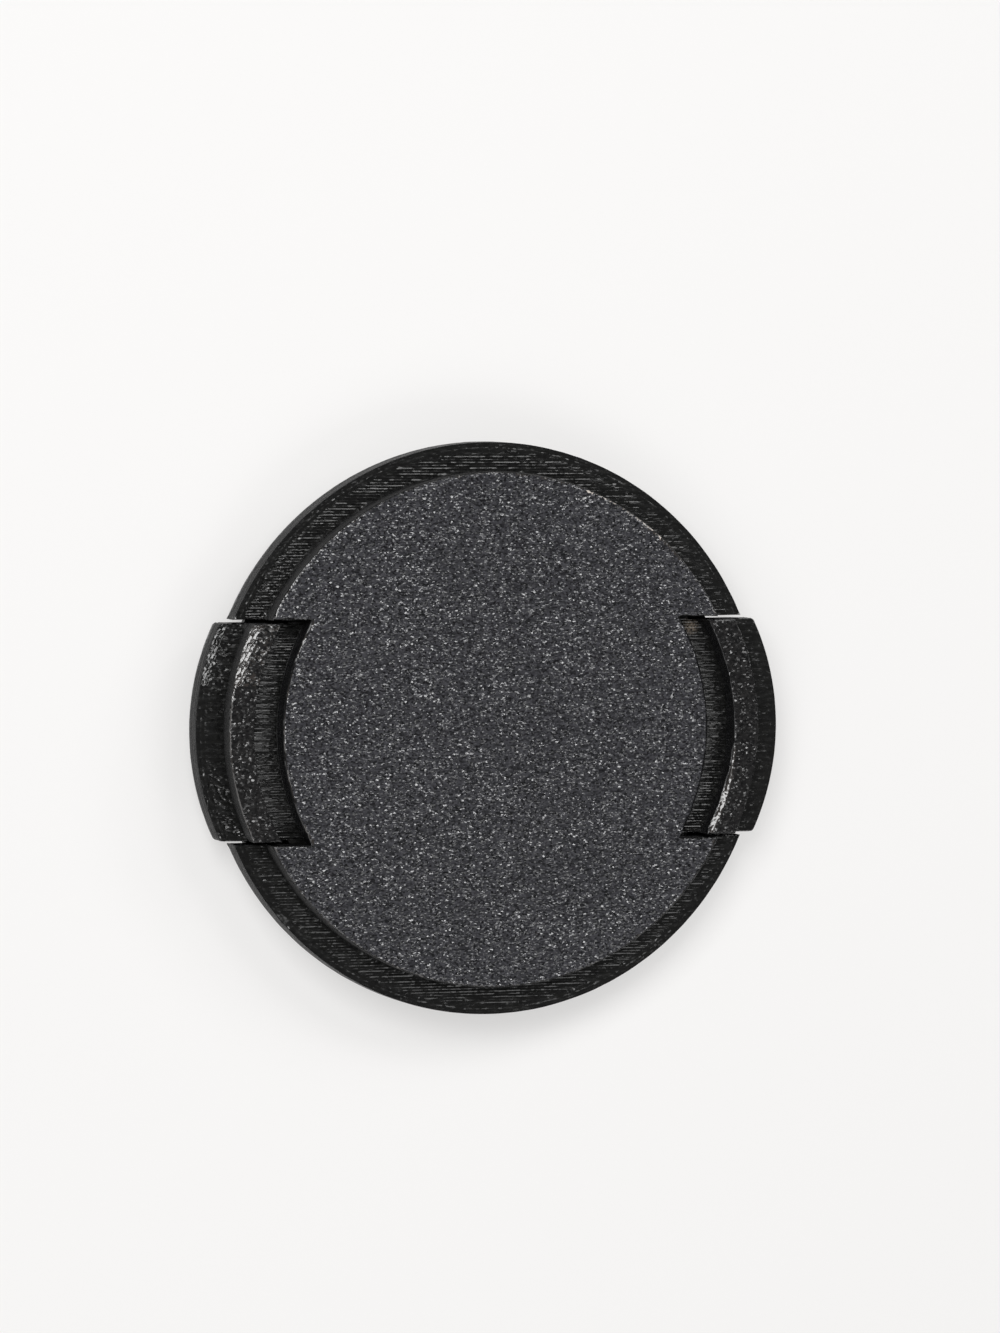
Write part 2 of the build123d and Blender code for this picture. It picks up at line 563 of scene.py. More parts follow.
    def peg(self, ring: Array, root: float, tip: float) -> None:
        """Add a round peg along X.

        Formula: the ring of (y, z) points is carried from x = root to x = tip, and closed there.

        Args:
            ring: Closed ring of (y, z) points.
            root: X where it starts in mm.
            tip: X where it ends in mm.
        """
        points = np.empty((len(ring), 2, 3))
        points[..., 0] = (root, tip)
        points[..., 1:] = ring[:, None, :]
        self.add(points.reshape(-1, 3), grid_triangles(len(ring), 2, True), Surface.WALL)
        self.upright((tip, 0.0), (0.0, 1.0), ring)

    def build(self, name: str, materials: Materials, turned: bool) -> bpy.types.Object:
        """Join the patches into one closed mesh object.

        Formula: ideal points that agree to a ten-thousandth of a millimetre become one vertex, which moves
        by the sum of its patches' reliefs.

        Args:
            name: Name of the piece.
            materials: Material for each value of Surface.
            turned: True for the piece's twin, half a turn about the Z axis away.

        Returns:
            The object, at the origin.
        """
        ideal = np.concatenate(self._points)
        rounded = np.round(ideal * POINTS_PER_MM).astype(np.int64)
        _, first, place = np.unique(rounded, axis=0, return_index=True, return_inverse=True)
        place = place.ravel()
        moved = np.zeros((len(first), 3))
        np.add.at(moved, place, np.concatenate(self._relief))
        points = ideal[first] + moved
        triangles = place[np.concatenate(self._triangles)]
        return mesh_object(name, points, triangles, np.concatenate(self._surface), materials, turned)


def mesh_object(
    name: str, points: Array, triangles: Array, surface: Array, materials: Materials, turned: bool
) -> bpy.types.Object:
    """Write triangles to a new mesh object with its faces turned outwards.

    Args:
        name: Name of the piece.
        points: Vertices in mm, shape (n, 3).
        triangles: Corners of each triangle, shape (t, 3).
        surface: Place of each triangle's material in the list of materials.
        materials: Materials, of which the piece takes those that it uses.
        turned: True for the piece's twin, half a turn about the Z axis away.

    Returns:
        The object, at the origin.
    """
    points = points * MM * (HALF_TURN if turned else 1.0)
    used, index = np.unique(surface, return_inverse=True)
    mesh = bpy.data.meshes.new(name)
    mesh.vertices.add(len(points))
    mesh.vertices.foreach_set("co", points.astype(np.float32).ravel())
    mesh.loops.add(triangles.size)
    mesh.loops.foreach_set("vertex_index", triangles.astype(np.int32).ravel())
    mesh.polygons.add(len(triangles))
    mesh.polygons.foreach_set("loop_start", np.arange(0, triangles.size, 3, dtype=np.int32))
    mesh.polygons.foreach_set("material_index", index.ravel().astype(np.int32))
    mesh.update(calc_edges=True)
    for kind in used:
        mesh.materials.append(materials[kind])
    work = bmesh.new()
    work.from_mesh(mesh)
    bmesh.ops.recalc_face_normals(work, faces=work.faces)
    open_edges = sum(1 for edge in work.edges if not edge.is_manifold)
    work.to_mesh(mesh)
    work.free()
    mesh.polygons.foreach_set("use_smooth", np.ones(len(triangles), dtype=bool))
    mesh.set_sharp_from_angle(angle=math.radians(SHARP_ANGLE))
    piece = bpy.data.objects.new(name, mesh)
    bpy.context.scene.collection.objects.link(piece)
    LOG.info("%s: %d triangles, %d open edges", name, len(triangles), open_edges)
    return piece


# The printer's marks


@dataclass(frozen=True)
class PrintMarks:
    """Marks that printing left on the skin, in millimetres, or as shares of one.

    A wave is the length over which a random wander changes. The spreads keep neighbouring layers and lines
    apart in the noise, so that each wanders by itself.
    """

    plate_level: float
    layer: float = 0.25
    layer_bulge: float = 0.10
    layer_wander: float = 0.03
    layer_spread: float = 7.0
    flush_share: float = 0.8
    rows_per_layer: int = 4
    ripple_depth: float = 0.012
    ripple_wave: float = 0.9
    line: float = 0.42
    line_depth: float = 0.05
    line_wander: float = 0.012
    border_lines: int = 2
    raster_pitch: float = 0.27
    raster_rows: int = 5
    raster_step: float = 0.4
    raster_depth: float = 0.07
    raster_wave: float = 1.2
    raster_short_wave: float = 0.6
    raster_short_seed: int = 50
    raster_swing: float = 0.3
    raster_least: float = 0.1
    raster_return: float = 0.35
    raster_spread: float = 5.0
    grain_cell: float = 0.38
    grain_stretch: tuple[float, float] = (0.85, 1.2)
    grain_depth: float = 0.035
    grain_step: tuple[float, float] = (0.25, 0.155)
    fine_grain: float = 0.55
    fine_share: float = 0.3
    edge_round: float = 0.15
    edge_rows: tuple[float, ...] = (0.05, 0.3, 0.7)
    edge_swing: float = 0.7
    edge_wave: float = 0.55
    edge_wander: float = 0.07
    edge_slow_wave: float = 2.3
    edge_fall: float = 0.15
    edge_width: float = 0.24
    fall_swing: float = 0.35
    fall_wave: float = 0.6
    speck_cell: float = 0.2
    speck_cut: float = 0.25
    speck_depth: float = 0.14
    speck_step: float = 0.13

    @property
    def border(self) -> float:
        """Width of the lines of filament along a border."""
        return self.border_lines * self.line

    def rows(self, low: float, high: float) -> Array:
        """Heights of a wall's rows.

        Formula: evenly spaced within each layer, counted down from the build plate, with finer rows in the
        rounded edge beside the plate.

        Args:
            low: Foot of the wall in mm.
            high: Top of the wall in mm.

        Returns:
            Heights from low to high.
        """
        step = self.layer / self.rows_per_layer
        clear = step / 3
        levels = self.plate_level - step * np.arange(int((self.plate_level - low) / step) + 2)
        top = high - clear
        if high >= self.plate_level:
            levels = levels[levels < self.plate_level - self.edge_round]
            levels = np.concatenate([levels, self.plate_level - self.edge_round * np.array(self.edge_rows)])
            top = high - TINY
        return np.sort(np.concatenate([[low, high], levels[between(levels, (low + clear, top))]]))

    def layers(self, seed: int, ragged: Relief | None = None, seat: float = -1.0) -> Depth:
        """Skin of a printed wall.

        Formula: each layer bulges as a half ellipse, stands back by its own random step and ripples along
        its length. Beside the build plate the edge turns in by a quarter round whose size wanders.

        Args:
            seed: A number that picks the pattern.
            ragged: Gives more wander of the plate edge along the wall, as a factor.
            seat: Level of the wall's foot in mm, where its last layer is flush.

        Returns:
            A function of distance along the wall and height, in mm.
        """

        def depth(along: Array, height: Array) -> Array:
            """Add up the marks at places on the wall.

            Args:
                along: Distances along the wall in mm, shape (columns, rows) or (n,).
                height: Levels in mm, of the same shape.

            Returns:
                How far the skin stands out in mm, which is never above 0.
            """
            below = self.plate_level - height
            index = np.floor(below / self.layer + TINY)
            groove = self.layer_bulge * (1 - bead(below, self.layer))
            step = self.layer_wander * random_share(index[..., None], seed)
            place = np.stack([along, index * self.layer_spread], axis=-1)
            ripple = self.ripple_depth * (1 + smooth_noise(place, self.ripple_wave, seed + 1))
            wander = 1 + self.edge_swing * smooth_noise(along[..., None], self.edge_wave, seed + 2)
            slow = 0.5 + 0.5 * smooth_noise(along[..., None], self.edge_slow_wave, seed + 3)
            if ragged is not None:
                slow = slow * ragged(along)
            rise = 1 - fade(below, self.edge_round)
            turn = self.edge_round * wander * (1 - np.sqrt(1 - rise * rise))
            lip = self.edge_wander * slow * (1 - fade(below, 2 * self.layer))
            flush = (below < self.layer) | (height < seat + self.flush_share * self.layer)
            return -(np.where(flush, 0.0, groove + step) + ripple + turn + lip)

        return depth

    def lines(self, from_edge: Array) -> Array:
        """Depth of the lines of filament that follow an edge, as heights that are never above 0."""
        return self.line_depth * (bead(from_edge, self.line) - 1)

    def grain(self, points: Array, seed: int) -> Array:
        """Pebbles of a face that lay on the build plate.

        Formula: two layers of smooth noise, one pebble wide and half a pebble wide, stretched along X and
        cut into the face.

        Args:
            points: Places.
            seed: A number that picks the pattern.

        Returns:
            Heights that are never above 0, in mm.
        """
        drawn = points * self.grain_stretch
        coarse = smooth_noise(drawn, self.grain_cell, seed)
        fine = smooth_noise(drawn @ CROSS_GRAIN, self.fine_grain * self.grain_cell, seed + 1)
        return self.grain_depth * ((1 - self.fine_share) * coarse + self.fine_share * fine - 1) / 2

    def fall(self, points: Array, distance: Array, seed: int) -> Array:
        """How far the plate side falls beside an edge: a depth that wanders, none an edge width inside it."""
        wander = 1 - self.fall_swing + self.fall_swing * smooth_noise(points, self.fall_wave, seed)
        return self.edge_fall * wander * (1 - fade(distance, self.edge_width))

    def specks(self, points: Array, seed: int) -> Array:
        """Small pits where the filament came out unevenly: smooth noise above a cut, turned down."""
        noise = smooth_noise(points, self.speck_cell, seed)
        return -self.speck_depth * np.clip(noise - self.speck_cut, 0, None)

    def raster(self, points: Array, seed: int, pitch: float, broken: float = 0.0) -> Array:
        """Skin filled with straight lines along X.

        Formula: each line is a low roof across y, whose height above the groove comes and goes along x in
        long and short stretches. Every second line, laid on the way back, is lower.

        Args:
            points: Places.
            seed: A number that picks the pattern.
            pitch: Distance between lines in mm.
            broken: How much the short stretches count.

        Returns:
            Heights that are never above 0, in mm.
        """
        index = np.floor(points[:, 1] / pitch + TINY)
        place = np.column_stack([points[:, 0], index * self.raster_spread])
        long_runs = self.raster_swing * smooth_noise(place, self.raster_wave, seed)
        short_wave, short_seed = self.raster_short_wave * self.raster_wave, seed + self.raster_short_seed
        short_runs = broken * smooth_noise(place, short_wave, short_seed)
        drawn = np.clip(1 - self.raster_swing + long_runs + short_runs, self.raster_least, 1)
        drawn = drawn * (1 - self.raster_return * (index % 2))
        return self.raster_depth * (drawn * ridge(points[:, 1], pitch) - 1)


# Finishes


def linear(colour: str) -> tuple[float, float, float, float]:
    """Turn an sRGB hex colour into the linear colour that a shader takes.

    Args:
        colour: Six hex digits after a hash sign.

    Returns:
        Red, green, blue and an alpha of 1.
    """
    shares = np.array([int(colour[i : i + 2], 16) for i in (1, 3, 5)]) / 255
    value = np.where(shares <= 0.04045, shares / 12.92, ((shares + 0.055) / 1.055) ** 2.4)
    return (*value.tolist(), 1.0)


def add_node(tree: Tree, kind: str, inputs: dict | None = None, **settings: object) -> bpy.types.Node:
    """Add a shader node.

    Args:
        tree: Node tree that takes it.
        kind: The node's type name after its first words, ShaderNode.
        inputs: For each input's name or number, a value to set, or a socket or a node's first output to link.
        settings: The node's own settings.

    Returns:
        The new node.
    """
    node = tree.nodes.new(f"ShaderNode{kind}")
    for name, value in settings.items():
        setattr(node, name, value)
    for name, value in (inputs or {}).items():
        if isinstance(value, bpy.types.Node):
            value = value.outputs[0]
        if isinstance(value, Socket):
            tree.links.new(value, node.inputs[name])
        else:
            node.inputs[name].default_value = value
    return node


def blank_material(name: str) -> tuple[bpy.types.Material, Tree]:
    """Make a material with an empty node tree.

    Args:
        name: Name of the material.

    Returns:
        The material and its tree.
    """
    material = bpy.data.materials.new(name)
    material.use_nodes = True
    material.node_tree.nodes.clear()
    return material, material.node_tree


@dataclass(frozen=True)
class Stain:
    """A smudge of residue: its middle, radius and grain in millimetres, and its colour.

    It is full within the core's share of its radius. The noise between the two limits breaks it up.
    """

    centre: tuple[float, float, float]
    radius: float
    colour: str
    grain: float
    core: float = 0.2
    limits: tuple[float, float] = (0.35, 0.6)

    def over(self, tree: Tree, place: Socket, colour: Socket) -> Socket:
        """Lay the stain over a colour: full in its middle, none at its radius, and broken by fine noise.

        Args:
            tree: The material's node tree.
            place: Object coordinates.
            colour: Colour under the stain.

        Returns:
            The mix of both colours.
        """
        centre = [part * MM for part in self.centre]
        away = add_node(tree, "VectorMath", {0: place, 1: centre}, operation="DISTANCE")
        reach = {"From Min": self.core * self.radius * MM, "From Max": self.radius * MM}
        near = add_node(
            tree, "MapRange", {"Value": away.outputs["Value"], **reach, "To Min": 1.0, "To Max": 0.0}
        )
        noise = add_node(tree, "TexNoise", {"Vector": place, "Scale": 1 / (self.grain * MM), "Detail": 1.0})
        low, high = self.limits
        patchy = add_node(tree, "MapRange", {"Value": noise, "From Min": low, "From Max": high})
        thick = add_node(tree, "Math", {0: near, 1: patchy}, operation="MULTIPLY")
        tint = {"Factor": thick, MIX_FIRST: colour, MIX_SECOND: linear(self.colour)}
        return add_node(tree, "Mix", tint, data_type="RGBA").outputs[MIX_RESULT]


@dataclass(frozen=True)
class Facets:
    """Grains of a build plate's coating, printed as small flat facets: their size in mm and steepest slope.

    The real grains are about 0.1 mm across and are drawn as coarse as they need to show. The power sets how
    rare the steep ones are. Each grain's own random number paints it darker or paler, as shade in the pits.
    """

    size: float
    slope: float
    power: float = 0.5
    stretch: tuple[float, float, float] = (0.85, 1.15, 1.0)

    def tilted(self, tree: Tree, place: Socket, normal: Socket) -> tuple[Socket, Socket]:
        """Lean the normal of a level surface by a random slope for each cell of scattered points.

        Args:
            tree: The material's node tree.
            place: Object coordinates.
            normal: The surface's normal before.

        Returns:
            The normal with the facets in it, and a random number from 0 to 1 for each cell, which sets its
            painted shade.
        """
        spread = add_node(tree, "Mapping", {"Vector": place, "Scale": self.stretch})
        scatter = add_node(
            tree, "TexVoronoi", {"Vector": spread, "Scale": 1 / (self.size * MM)}, voronoi_dimensions="2D"
        )
        cell = scatter.outputs["Color"]
        chance = add_node(tree, "SeparateColor", {"Color": cell})
        share = add_node(tree, "Math", {0: chance.outputs["Blue"], 1: self.power}, operation="POWER")
        span, least = (2 * self.slope, 2 * self.slope, 0.0), (-self.slope, -self.slope, 0.0)
        either_way = add_node(tree, "VectorMath", {0: cell, 1: span, 2: least}, operation="MULTIPLY_ADD")
        slope = add_node(tree, "VectorMath", {0: either_way, "Scale": share}, operation="SCALE")
        leaning = add_node(tree, "VectorMath", {0: normal, 1: slope}, operation="ADD")
        tilted = add_node(tree, "VectorMath", {0: leaning}, operation="NORMALIZE")
        return tilted.outputs[0], chance.outputs["Green"]


@dataclass(frozen=True)
class BlackPrintFinish:
    """Black PETG straight off the printer, with its grit, the grit's height and its blotches in millimetres.

    It is a dyed-through plastic with a clear gloss, so it is nearly black with small sharp glints wherever
    its texture tips towards the light.
    """

    name: str
    colour: str
    blotch_and_grain_shade_colour: str
    roughness: tuple[float, float]
    grit: float
    grit_height: float
    stretch: tuple[float, float, float] = (1.0, 1.0, 1.0)
    facets: Facets | None = None
    stain: Stain | None = None
    blotch: float = 3.0
    ior: float = 1.57
    grit_range: tuple[float, float] = (0.3, 0.7)

    def material(self) -> bpy.types.Material:
        """Build the material: grit and facets for bump and gloss, slow blotches or painted grain shade for
        colour, and any stain.

        Returns:
            The material.
        """
        material, tree = blank_material(self.name)
        place = add_node(tree, "TexCoord").outputs["Object"]
        drawn = add_node(tree, "Mapping", {"Vector": place, "Scale": self.stretch})
        grit = add_node(tree, "TexNoise", {"Vector": drawn, "Scale": 1 / (self.grit * MM), "Detail": 0.0})
        blotch = add_node(tree, "TexNoise", {"Vector": place, "Scale": 1 / (self.blotch * MM), "Detail": 2.0})
        source = {"Value": grit, "From Min": self.grit_range[0], "From Max": self.grit_range[1]}
        shine = {"To Min": self.roughness[0], "To Max": self.roughness[1]}
        gloss = add_node(tree, "MapRange", {**source, **shine})
        bump = add_node(tree, "Bump", {"Height": grit, "Distance": self.grit_height * MM, "Strength": 1.0})
        normal, shade = bump.outputs["Normal"], blotch.outputs["Fac"]
        if self.facets is not None:
            normal, shade = self.facets.tilted(tree, place, normal)
        # With facets, each grain's number picks its colour: painted shade of the pits between grains
        colours = {MIX_FIRST: linear(self.colour), MIX_SECOND: linear(self.blotch_and_grain_shade_colour)}
        mixed = add_node(tree, "Mix", {"Factor": shade, **colours}, data_type="RGBA")
        tint = mixed.outputs[MIX_RESULT]
        if self.stain is not None:
            tint = self.stain.over(tree, place, tint)
        look = {"Base Color": tint, "Roughness": gloss, "IOR": self.ior, "Normal": normal}
        shader = add_node(tree, "BsdfPrincipled", look)
        add_node(tree, "OutputMaterial", {"Surface": shader})
        return material


@dataclass(frozen=True)
class SpringSteelFinish:
    """Drawn spring wire: bright steel with uneven gloss, a little dull from handling."""

    name: str = "drawn_spring_steel"
    colour: str = "#b9b7b2"
    mottle: float = 0.25
    roughness: tuple[float, float] = (0.22, 0.42)

    def material(self) -> bpy.types.Material:
        """Build the material: fine noise varies the gloss.

        Returns:
            The material.
        """
        material, tree = blank_material(self.name)
        place = add_node(tree, "TexCoord").outputs["Object"]
        mottle = add_node(tree, "TexNoise", {"Vector": place, "Scale": 1 / (self.mottle * MM), "Detail": 2.0})
        shine = {"To Min": self.roughness[0], "To Max": self.roughness[1]}
        gloss = add_node(tree, "MapRange", {"Value": mottle, **shine})
        look = {"Base Color": linear(self.colour), "Metallic": 1.0, "Roughness": gloss}
        shader = add_node(tree, "BsdfPrincipled", look)
        add_node(tree, "OutputMaterial", {"Surface": shader})
        return material


def black_print() -> list[bpy.types.Material]:
    """Make the looks of the black print.

    Returns:
        Materials in the order of Surface.
    """
    along_x, drawn = (0.85, 1.15, 1.0), (0.25, 1.0, 1.0)
    residue = Stain(centre=(19.8, 9.45, 5.5), radius=0.95, colour="#8f8375", grain=0.17)
    plate_grains = Facets(size=0.16, slope=0.85, power=3.0, stretch=(0.75, 1.25, 1.0))
    worn_grains = Facets(size=0.19, slope=0.5, power=2.6)
    finishes = (
        # Pebbled by the build plate, so it glints in grains, each grain painted darker or paler as shade
        BlackPrintFinish(
            "black_petg_plate_side", "#0f0f11", "#424246", roughness=(0.07, 0.16), grit=0.26,
            grit_height=0.08, stretch=along_x, facets=plate_grains, ior=1.65,
        ),
        # Drawn lines of filament, so it is smooth along the line and glossier; grains painted a shade apart
        BlackPrintFinish(
            "black_petg_filled_skin", "#0f0f0f", "#151514", roughness=(0.16, 0.28), grit=0.30,
            grit_height=0.03, stretch=drawn, facets=Facets(size=0.25, slope=0.15), stain=residue,
        ),
        # Stacked layers, each with a glossy round side
        BlackPrintFinish(
            "black_petg_layered_wall", "#0c0c0d", "#121213", roughness=(0.2, 0.34), grit=0.30,
            grit_height=0.015, ior=1.5,
        ),
        # Pebbled like the face but worn down by fingers, so it glints less; grains painted in shades
        BlackPrintFinish(
            "black_petg_finger_crest", "#0a0a0b", "#232222", roughness=(0.12, 0.28), grit=0.26,
            grit_height=0.05, stretch=along_x, facets=worn_grains,
        ),
        # Rubbed smooth and greyed, so it is paler and mirrors the light in streaks
        BlackPrintFinish(
            "black_petg_rubbed_edge", "#282726", "#383330", roughness=(0.08, 0.18), grit=0.28,
            grit_height=0.04, ior=1.7,
        ),
        # A pale dull grey line painted on as a highlight along the face's ragged upper right edge
        BlackPrintFinish(
            "black_petg_painted_highlight_line", "#a39b94", "#d8d0c8", roughness=(0.3, 0.5), grit=0.4,
            grit_height=0.05, blotch=0.8,
        ),
    )
    return [finish.material() for finish in finishes]


# Sub-assemblies


@dataclass(kw_only=True)
class CapPiece:
    """A piece of the cap, with the sizes that several pieces share, in millimetres.

    Radii are from the cap's axis and levels are above its rear face.
    """

    name: str
    turned: bool = False
    recess_radius: float = 20.8
    plate_thickness: float = 1.2
    seat_level: float = 3.0
    ledge_level: float = 5.5
    face_level: float = 8.0
    spring_level: float = 3.45
    abutment_face: float = 2.5
    tab_inner_end: float = 11.5
    peg_radius: float = 1.1
    peg_length: float = 1.8
    peg_sides: int = 20
    post_circle: float = 19.5
    post_angle: float = 64.0

    def post_centres(self) -> Array:
        """Centres of the four posts, one in each quarter, shape (4, 2)."""
        first = self.post_angle
        return self.post_circle * unit(np.radians([first, 180 - first, 180 + first, 360 - first]))

    def peg_ring(self) -> Array:
        """Closed ring of a spring peg, in (y, z)."""
        return circle(self.peg_radius, self.peg_sides, (0.0, self.spring_level))


@dataclass(kw_only=True)
class PrintedPiece(CapPiece):
    """A printed piece, which gathers its patches in a skin."""

    marks: PrintMarks
    skin: Skin = field(default_factory=Skin)

    def shape(self) -> None:
        """Add all patches of the piece to its skin."""
        raise NotImplementedError

    def build(self, materials: Materials) -> bpy.types.Object:
        """Make the piece's object at the origin, with a material for each value of Surface."""
        self.shape()
        return self.skin.build(self.name, materials, self.turned)


@dataclass(kw_only=True)
class FrontCover(PrintedPiece):
    """Stepped disc with a flange, a boss ring that enters the lens and two notches for the tabs.

    Angles are in degrees about the cap's axis.
    """

    cap_radius: float
    face_radius: float = 24.25
    boss_radius: float = 25.3
    cavity_radius: float = 22.3
    notch_half_width: float = 10.45
    ceiling_level: float = 5.7
    arc_step: float = 0.5
    notch_step: float = 0.35
    rib_half_length: float = 17.0
    rib_edges: tuple[float, float] = (12.9, 14.4)
    abutment_half_width: float = 3.2
    post_radius: float = 2.0
    post_sides: int = 28
    spigot_radius: float = 1.0
    spigot_sides: int = 20
    edge_grain: float = 0.2
    notch_fade: float = 0.6
    ragged_angles: tuple[float, float] = (35.0, 100.0)
    ragged_wave: float = 2.2
    ragged_depth: float = 0.08
    ragged_gain: float = 1.4
    # Where along the face's edge the pale painted highlight lies, in degrees, and how its width wanders
    highlight_angles: tuple[float, float] = (48.0, 69.0)
    highlight_wave: float = 2.0
    highlight_swing: float = 0.5
    rings_per_line: int = 3
    seat_rings: int = 12
    line_wave: float = 1.7
    line_spread: float = 9.0
    fill_angles: tuple[float, ...] = (-180.0, -120.0, -60.0, 0.0, 30.0, 60.0, 90.0, 120.0)
    fill_shares: tuple[float, ...] = (0.6, 0.65, 0.6, 0.5, 0.5, 0.6, 0.85, 1.0)
    fill_broken: float = 0.35
    fill_seam: float = 0.04
    chip_angle: float = 221.5
    chip_depth: float = 0.35
    chip_radius: float = 0.7
    speck_x: tuple[float, float] = (-20.0, -15.5)
    speck_fade: float = 0.4

    def shape(self) -> None:
        """Add the face, the flange, the boss ring, the notches and the inside."""
        self.face()
        for half in (1, -1):
            self.ledge(half)
            self.rings(half)
        for across, up in itertools.product((1, -1), repeat=2):
            self.notch_side(across, up)
        self.inside_of_cover()

    def edge_x(self, radius: float) -> float:
        """X where a circle about the axis meets the side of a notch."""
        return math.sqrt(radius**2 - self.notch_half_width**2)

    def upper(self, radius: float) -> Array:
        """Arc about the axis over the upper half, from the right notch to the left one."""
        start = lean(self.notch_half_width, radius)
        return arc(radius, start, 180 - start, self.arc_step)

    def recess(self, gap: float = 0.0) -> Array:
        """Arc of the right finger recess, or a gap inside its edge, from below upwards."""
        end = lean(self.notch_half_width, self.recess_radius)
        return arc(self.recess_radius - gap, -end, end, self.arc_step)

    def notch(self, first: float, last: float) -> Array:
        """X along a notch's side between two radii, with each stretch between radii divided evenly."""
        radii = (self.recess_radius, self.cavity_radius, self.face_radius, self.boss_radius, self.cap_radius)
        return divided([self.edge_x(radius) for radius in radii if first <= radius <= last], self.notch_step)

    def notch_run(self, first: float, last: float, across: int, up: int) -> Array:
        """Samples along the side of the right (1) or left (-1) notch, the upper (1) or the lower (-1) one."""
        return level_line(across * self.notch(first, last), up * self.notch_half_width)

    def disc_outline(self, radius: float) -> Array:
        """Outline of a disc that is cut in by the notches as far as the finger recesses.

        Args:
            radius: Radius of the disc in mm.

        Returns:
            Closed outline.
        """
        quarter = self.notch_run(self.recess_radius, radius, -1, 1)[::-1]
        lower_quarter = self.notch_run(self.recess_radius, radius, -1, -1)
        half = (self.upper(radius), quarter, -self.recess(), lower_quarter)
        return closed(*half, *[-run for run in half])

    def band_outline(self, inner: float, outer: float, half: int) -> Array:
        """Outline of the ring between two radii over one half.

        Args:
            inner: Inner radius in mm.
            outer: Outer radius in mm.
            half: 1 for the upper half, -1 for the lower one.

        Returns:
            Closed outline.
        """
        return closed(
            self.upper(outer) * half,
            self.notch_run(inner, outer, -half, half)[::-1],
            self.upper(inner)[::-1] * half,
            self.notch_run(inner, outer, half, half),
        )

    def face(self) -> None:
        """Pebbled front face and the walls of the finger recesses."""
        gap = self.marks.edge_width
        clear = gap + WIDE_GAP
        points = lattice((self.face_radius, self.face_radius), self.marks.grain_step, True)
        radius = from_axis(points)
        beside_notch = np.abs(points[:, 1]) < self.notch_half_width + clear
        in_notch = beside_notch & (radius > self.recess_radius - clear)
        points = points[(radius < self.face_radius - clear) & ~in_notch]
        inset = (self.upper(self.face_radius - gap / 2), self.upper(self.face_radius - gap), self.recess(gap))
        points = np.concatenate([points, *[run[2:-2] * turn for turn in (1, -1) for run in inset]])
        outline = self.disc_outline(self.face_radius)
        # The rubbed bevel, and a pale line painted on as a highlight along part of the upper edge
        marked = ((Surface.RUBBED, self.is_edge), (Surface.PAINTED_HIGHLIGHT_LINE, self.is_on_painted_highlight))
        self.skin.level(
            self.face_level, outline, points, relief=self.face_relief, surface=Surface.PLATE, marked=marked
        )
        levels = self.marks.rows(self.ceiling_level, self.face_level)
        for pattern, turn in ((Pattern.RIGHT_RECESS, 1.0), (Pattern.LEFT_RECESS, -1.0)):
            layers = self.marks.layers(pattern)
            self.skin.wall(self.recess() * turn, levels, depth=layers, fall=self.face_fall)

    def face_relief(self, points: Array) -> Array:
        """Height of the face's pebbles, which are worn down on the bevel, less the fall beside its edges."""
        worn = np.where(self.is_edge(points), self.edge_grain, 1.0)
        return worn * self.marks.grain(points, Pattern.FACE_GRAIN) - self.face_fall(points)

    def face_fall(self, points: Array) -> Array:
        """How far the face falls away beside its round edges.

        Formula: the fall of a printed edge, whose line wanders where the face is ragged. It fades out
        towards a notch's side.

        Args:
            points: Places on the face.

        Returns:
            Depths in mm.
        """
        from_notch = np.abs(points[:, 1]) - self.notch_half_width
        edge = np.where(from_notch > 0, self.face_radius, self.recess_radius)
        angle = bearing(points)
        ragged = self.ragged_depth * between(angle, self.ragged_angles)
        wander = ragged * smooth_noise(angle[:, None], self.ragged_wave, Pattern.RAGGED_EDGE)
        fall = self.marks.fall(points, edge - from_axis(points) - wander, Pattern.FACE_FALL)
        return fall * fade(np.abs(from_notch), self.notch_fade)

    def is_edge(self, points: Array) -> Array:
        """Say which places on the face lie on a rubbed bevel: those of all edges but the right recess's."""
        right_recess = (points[:, 0] > 0) & (np.abs(points[:, 1]) < self.notch_half_width)
        return (self.face_fall(points) > 0) & ~right_recess

    def is_on_painted_highlight(self, points: Array) -> Array:
        """Say which places on the face get the pale line of painted highlight along its ragged upper right
        edge.

        Formula: between the lip's angles, within a reach of the edge that wanders about the bevel's width.

        Args:
            points: Places on the face.

        Returns:
            True or False.
        """
        angle = bearing(points)
        wander = self.highlight_swing * smooth_noise(angle[:, None], self.highlight_wave, Pattern.PAINTED_HIGHLIGHT_WANDER)
        from_edge = self.face_radius - from_axis(points)
        return between(angle, self.highlight_angles) & (from_edge < self.marks.edge_width * (1 + wander))

    def chip(self, points: Array) -> Array:
        """How far the flange's rim is chipped: a cone cut into its edge at one place."""
        middle = self.cap_radius * unit(np.radians([self.chip_angle]))
        return self.chip_depth * (1 - fade(from_axis(points - middle), self.chip_radius))

    def ragged_top(self, along: Array) -> Array:
        """Wander of the upper face edge: the lip came off the plate unevenly over part of the top."""
        angle = lean(self.notch_half_width, self.face_radius) + np.degrees(along / self.face_radius)
        return 1 + self.ragged_gain * between(angle, self.ragged_angles)

    def ledge(self, half: int) -> None:
        """Flange top with its outer lines and straight fill, and the wall of the raised face.

        Args:
            half: 1 for the upper half, -1 for the lower one.
        """
        marks = self.marks

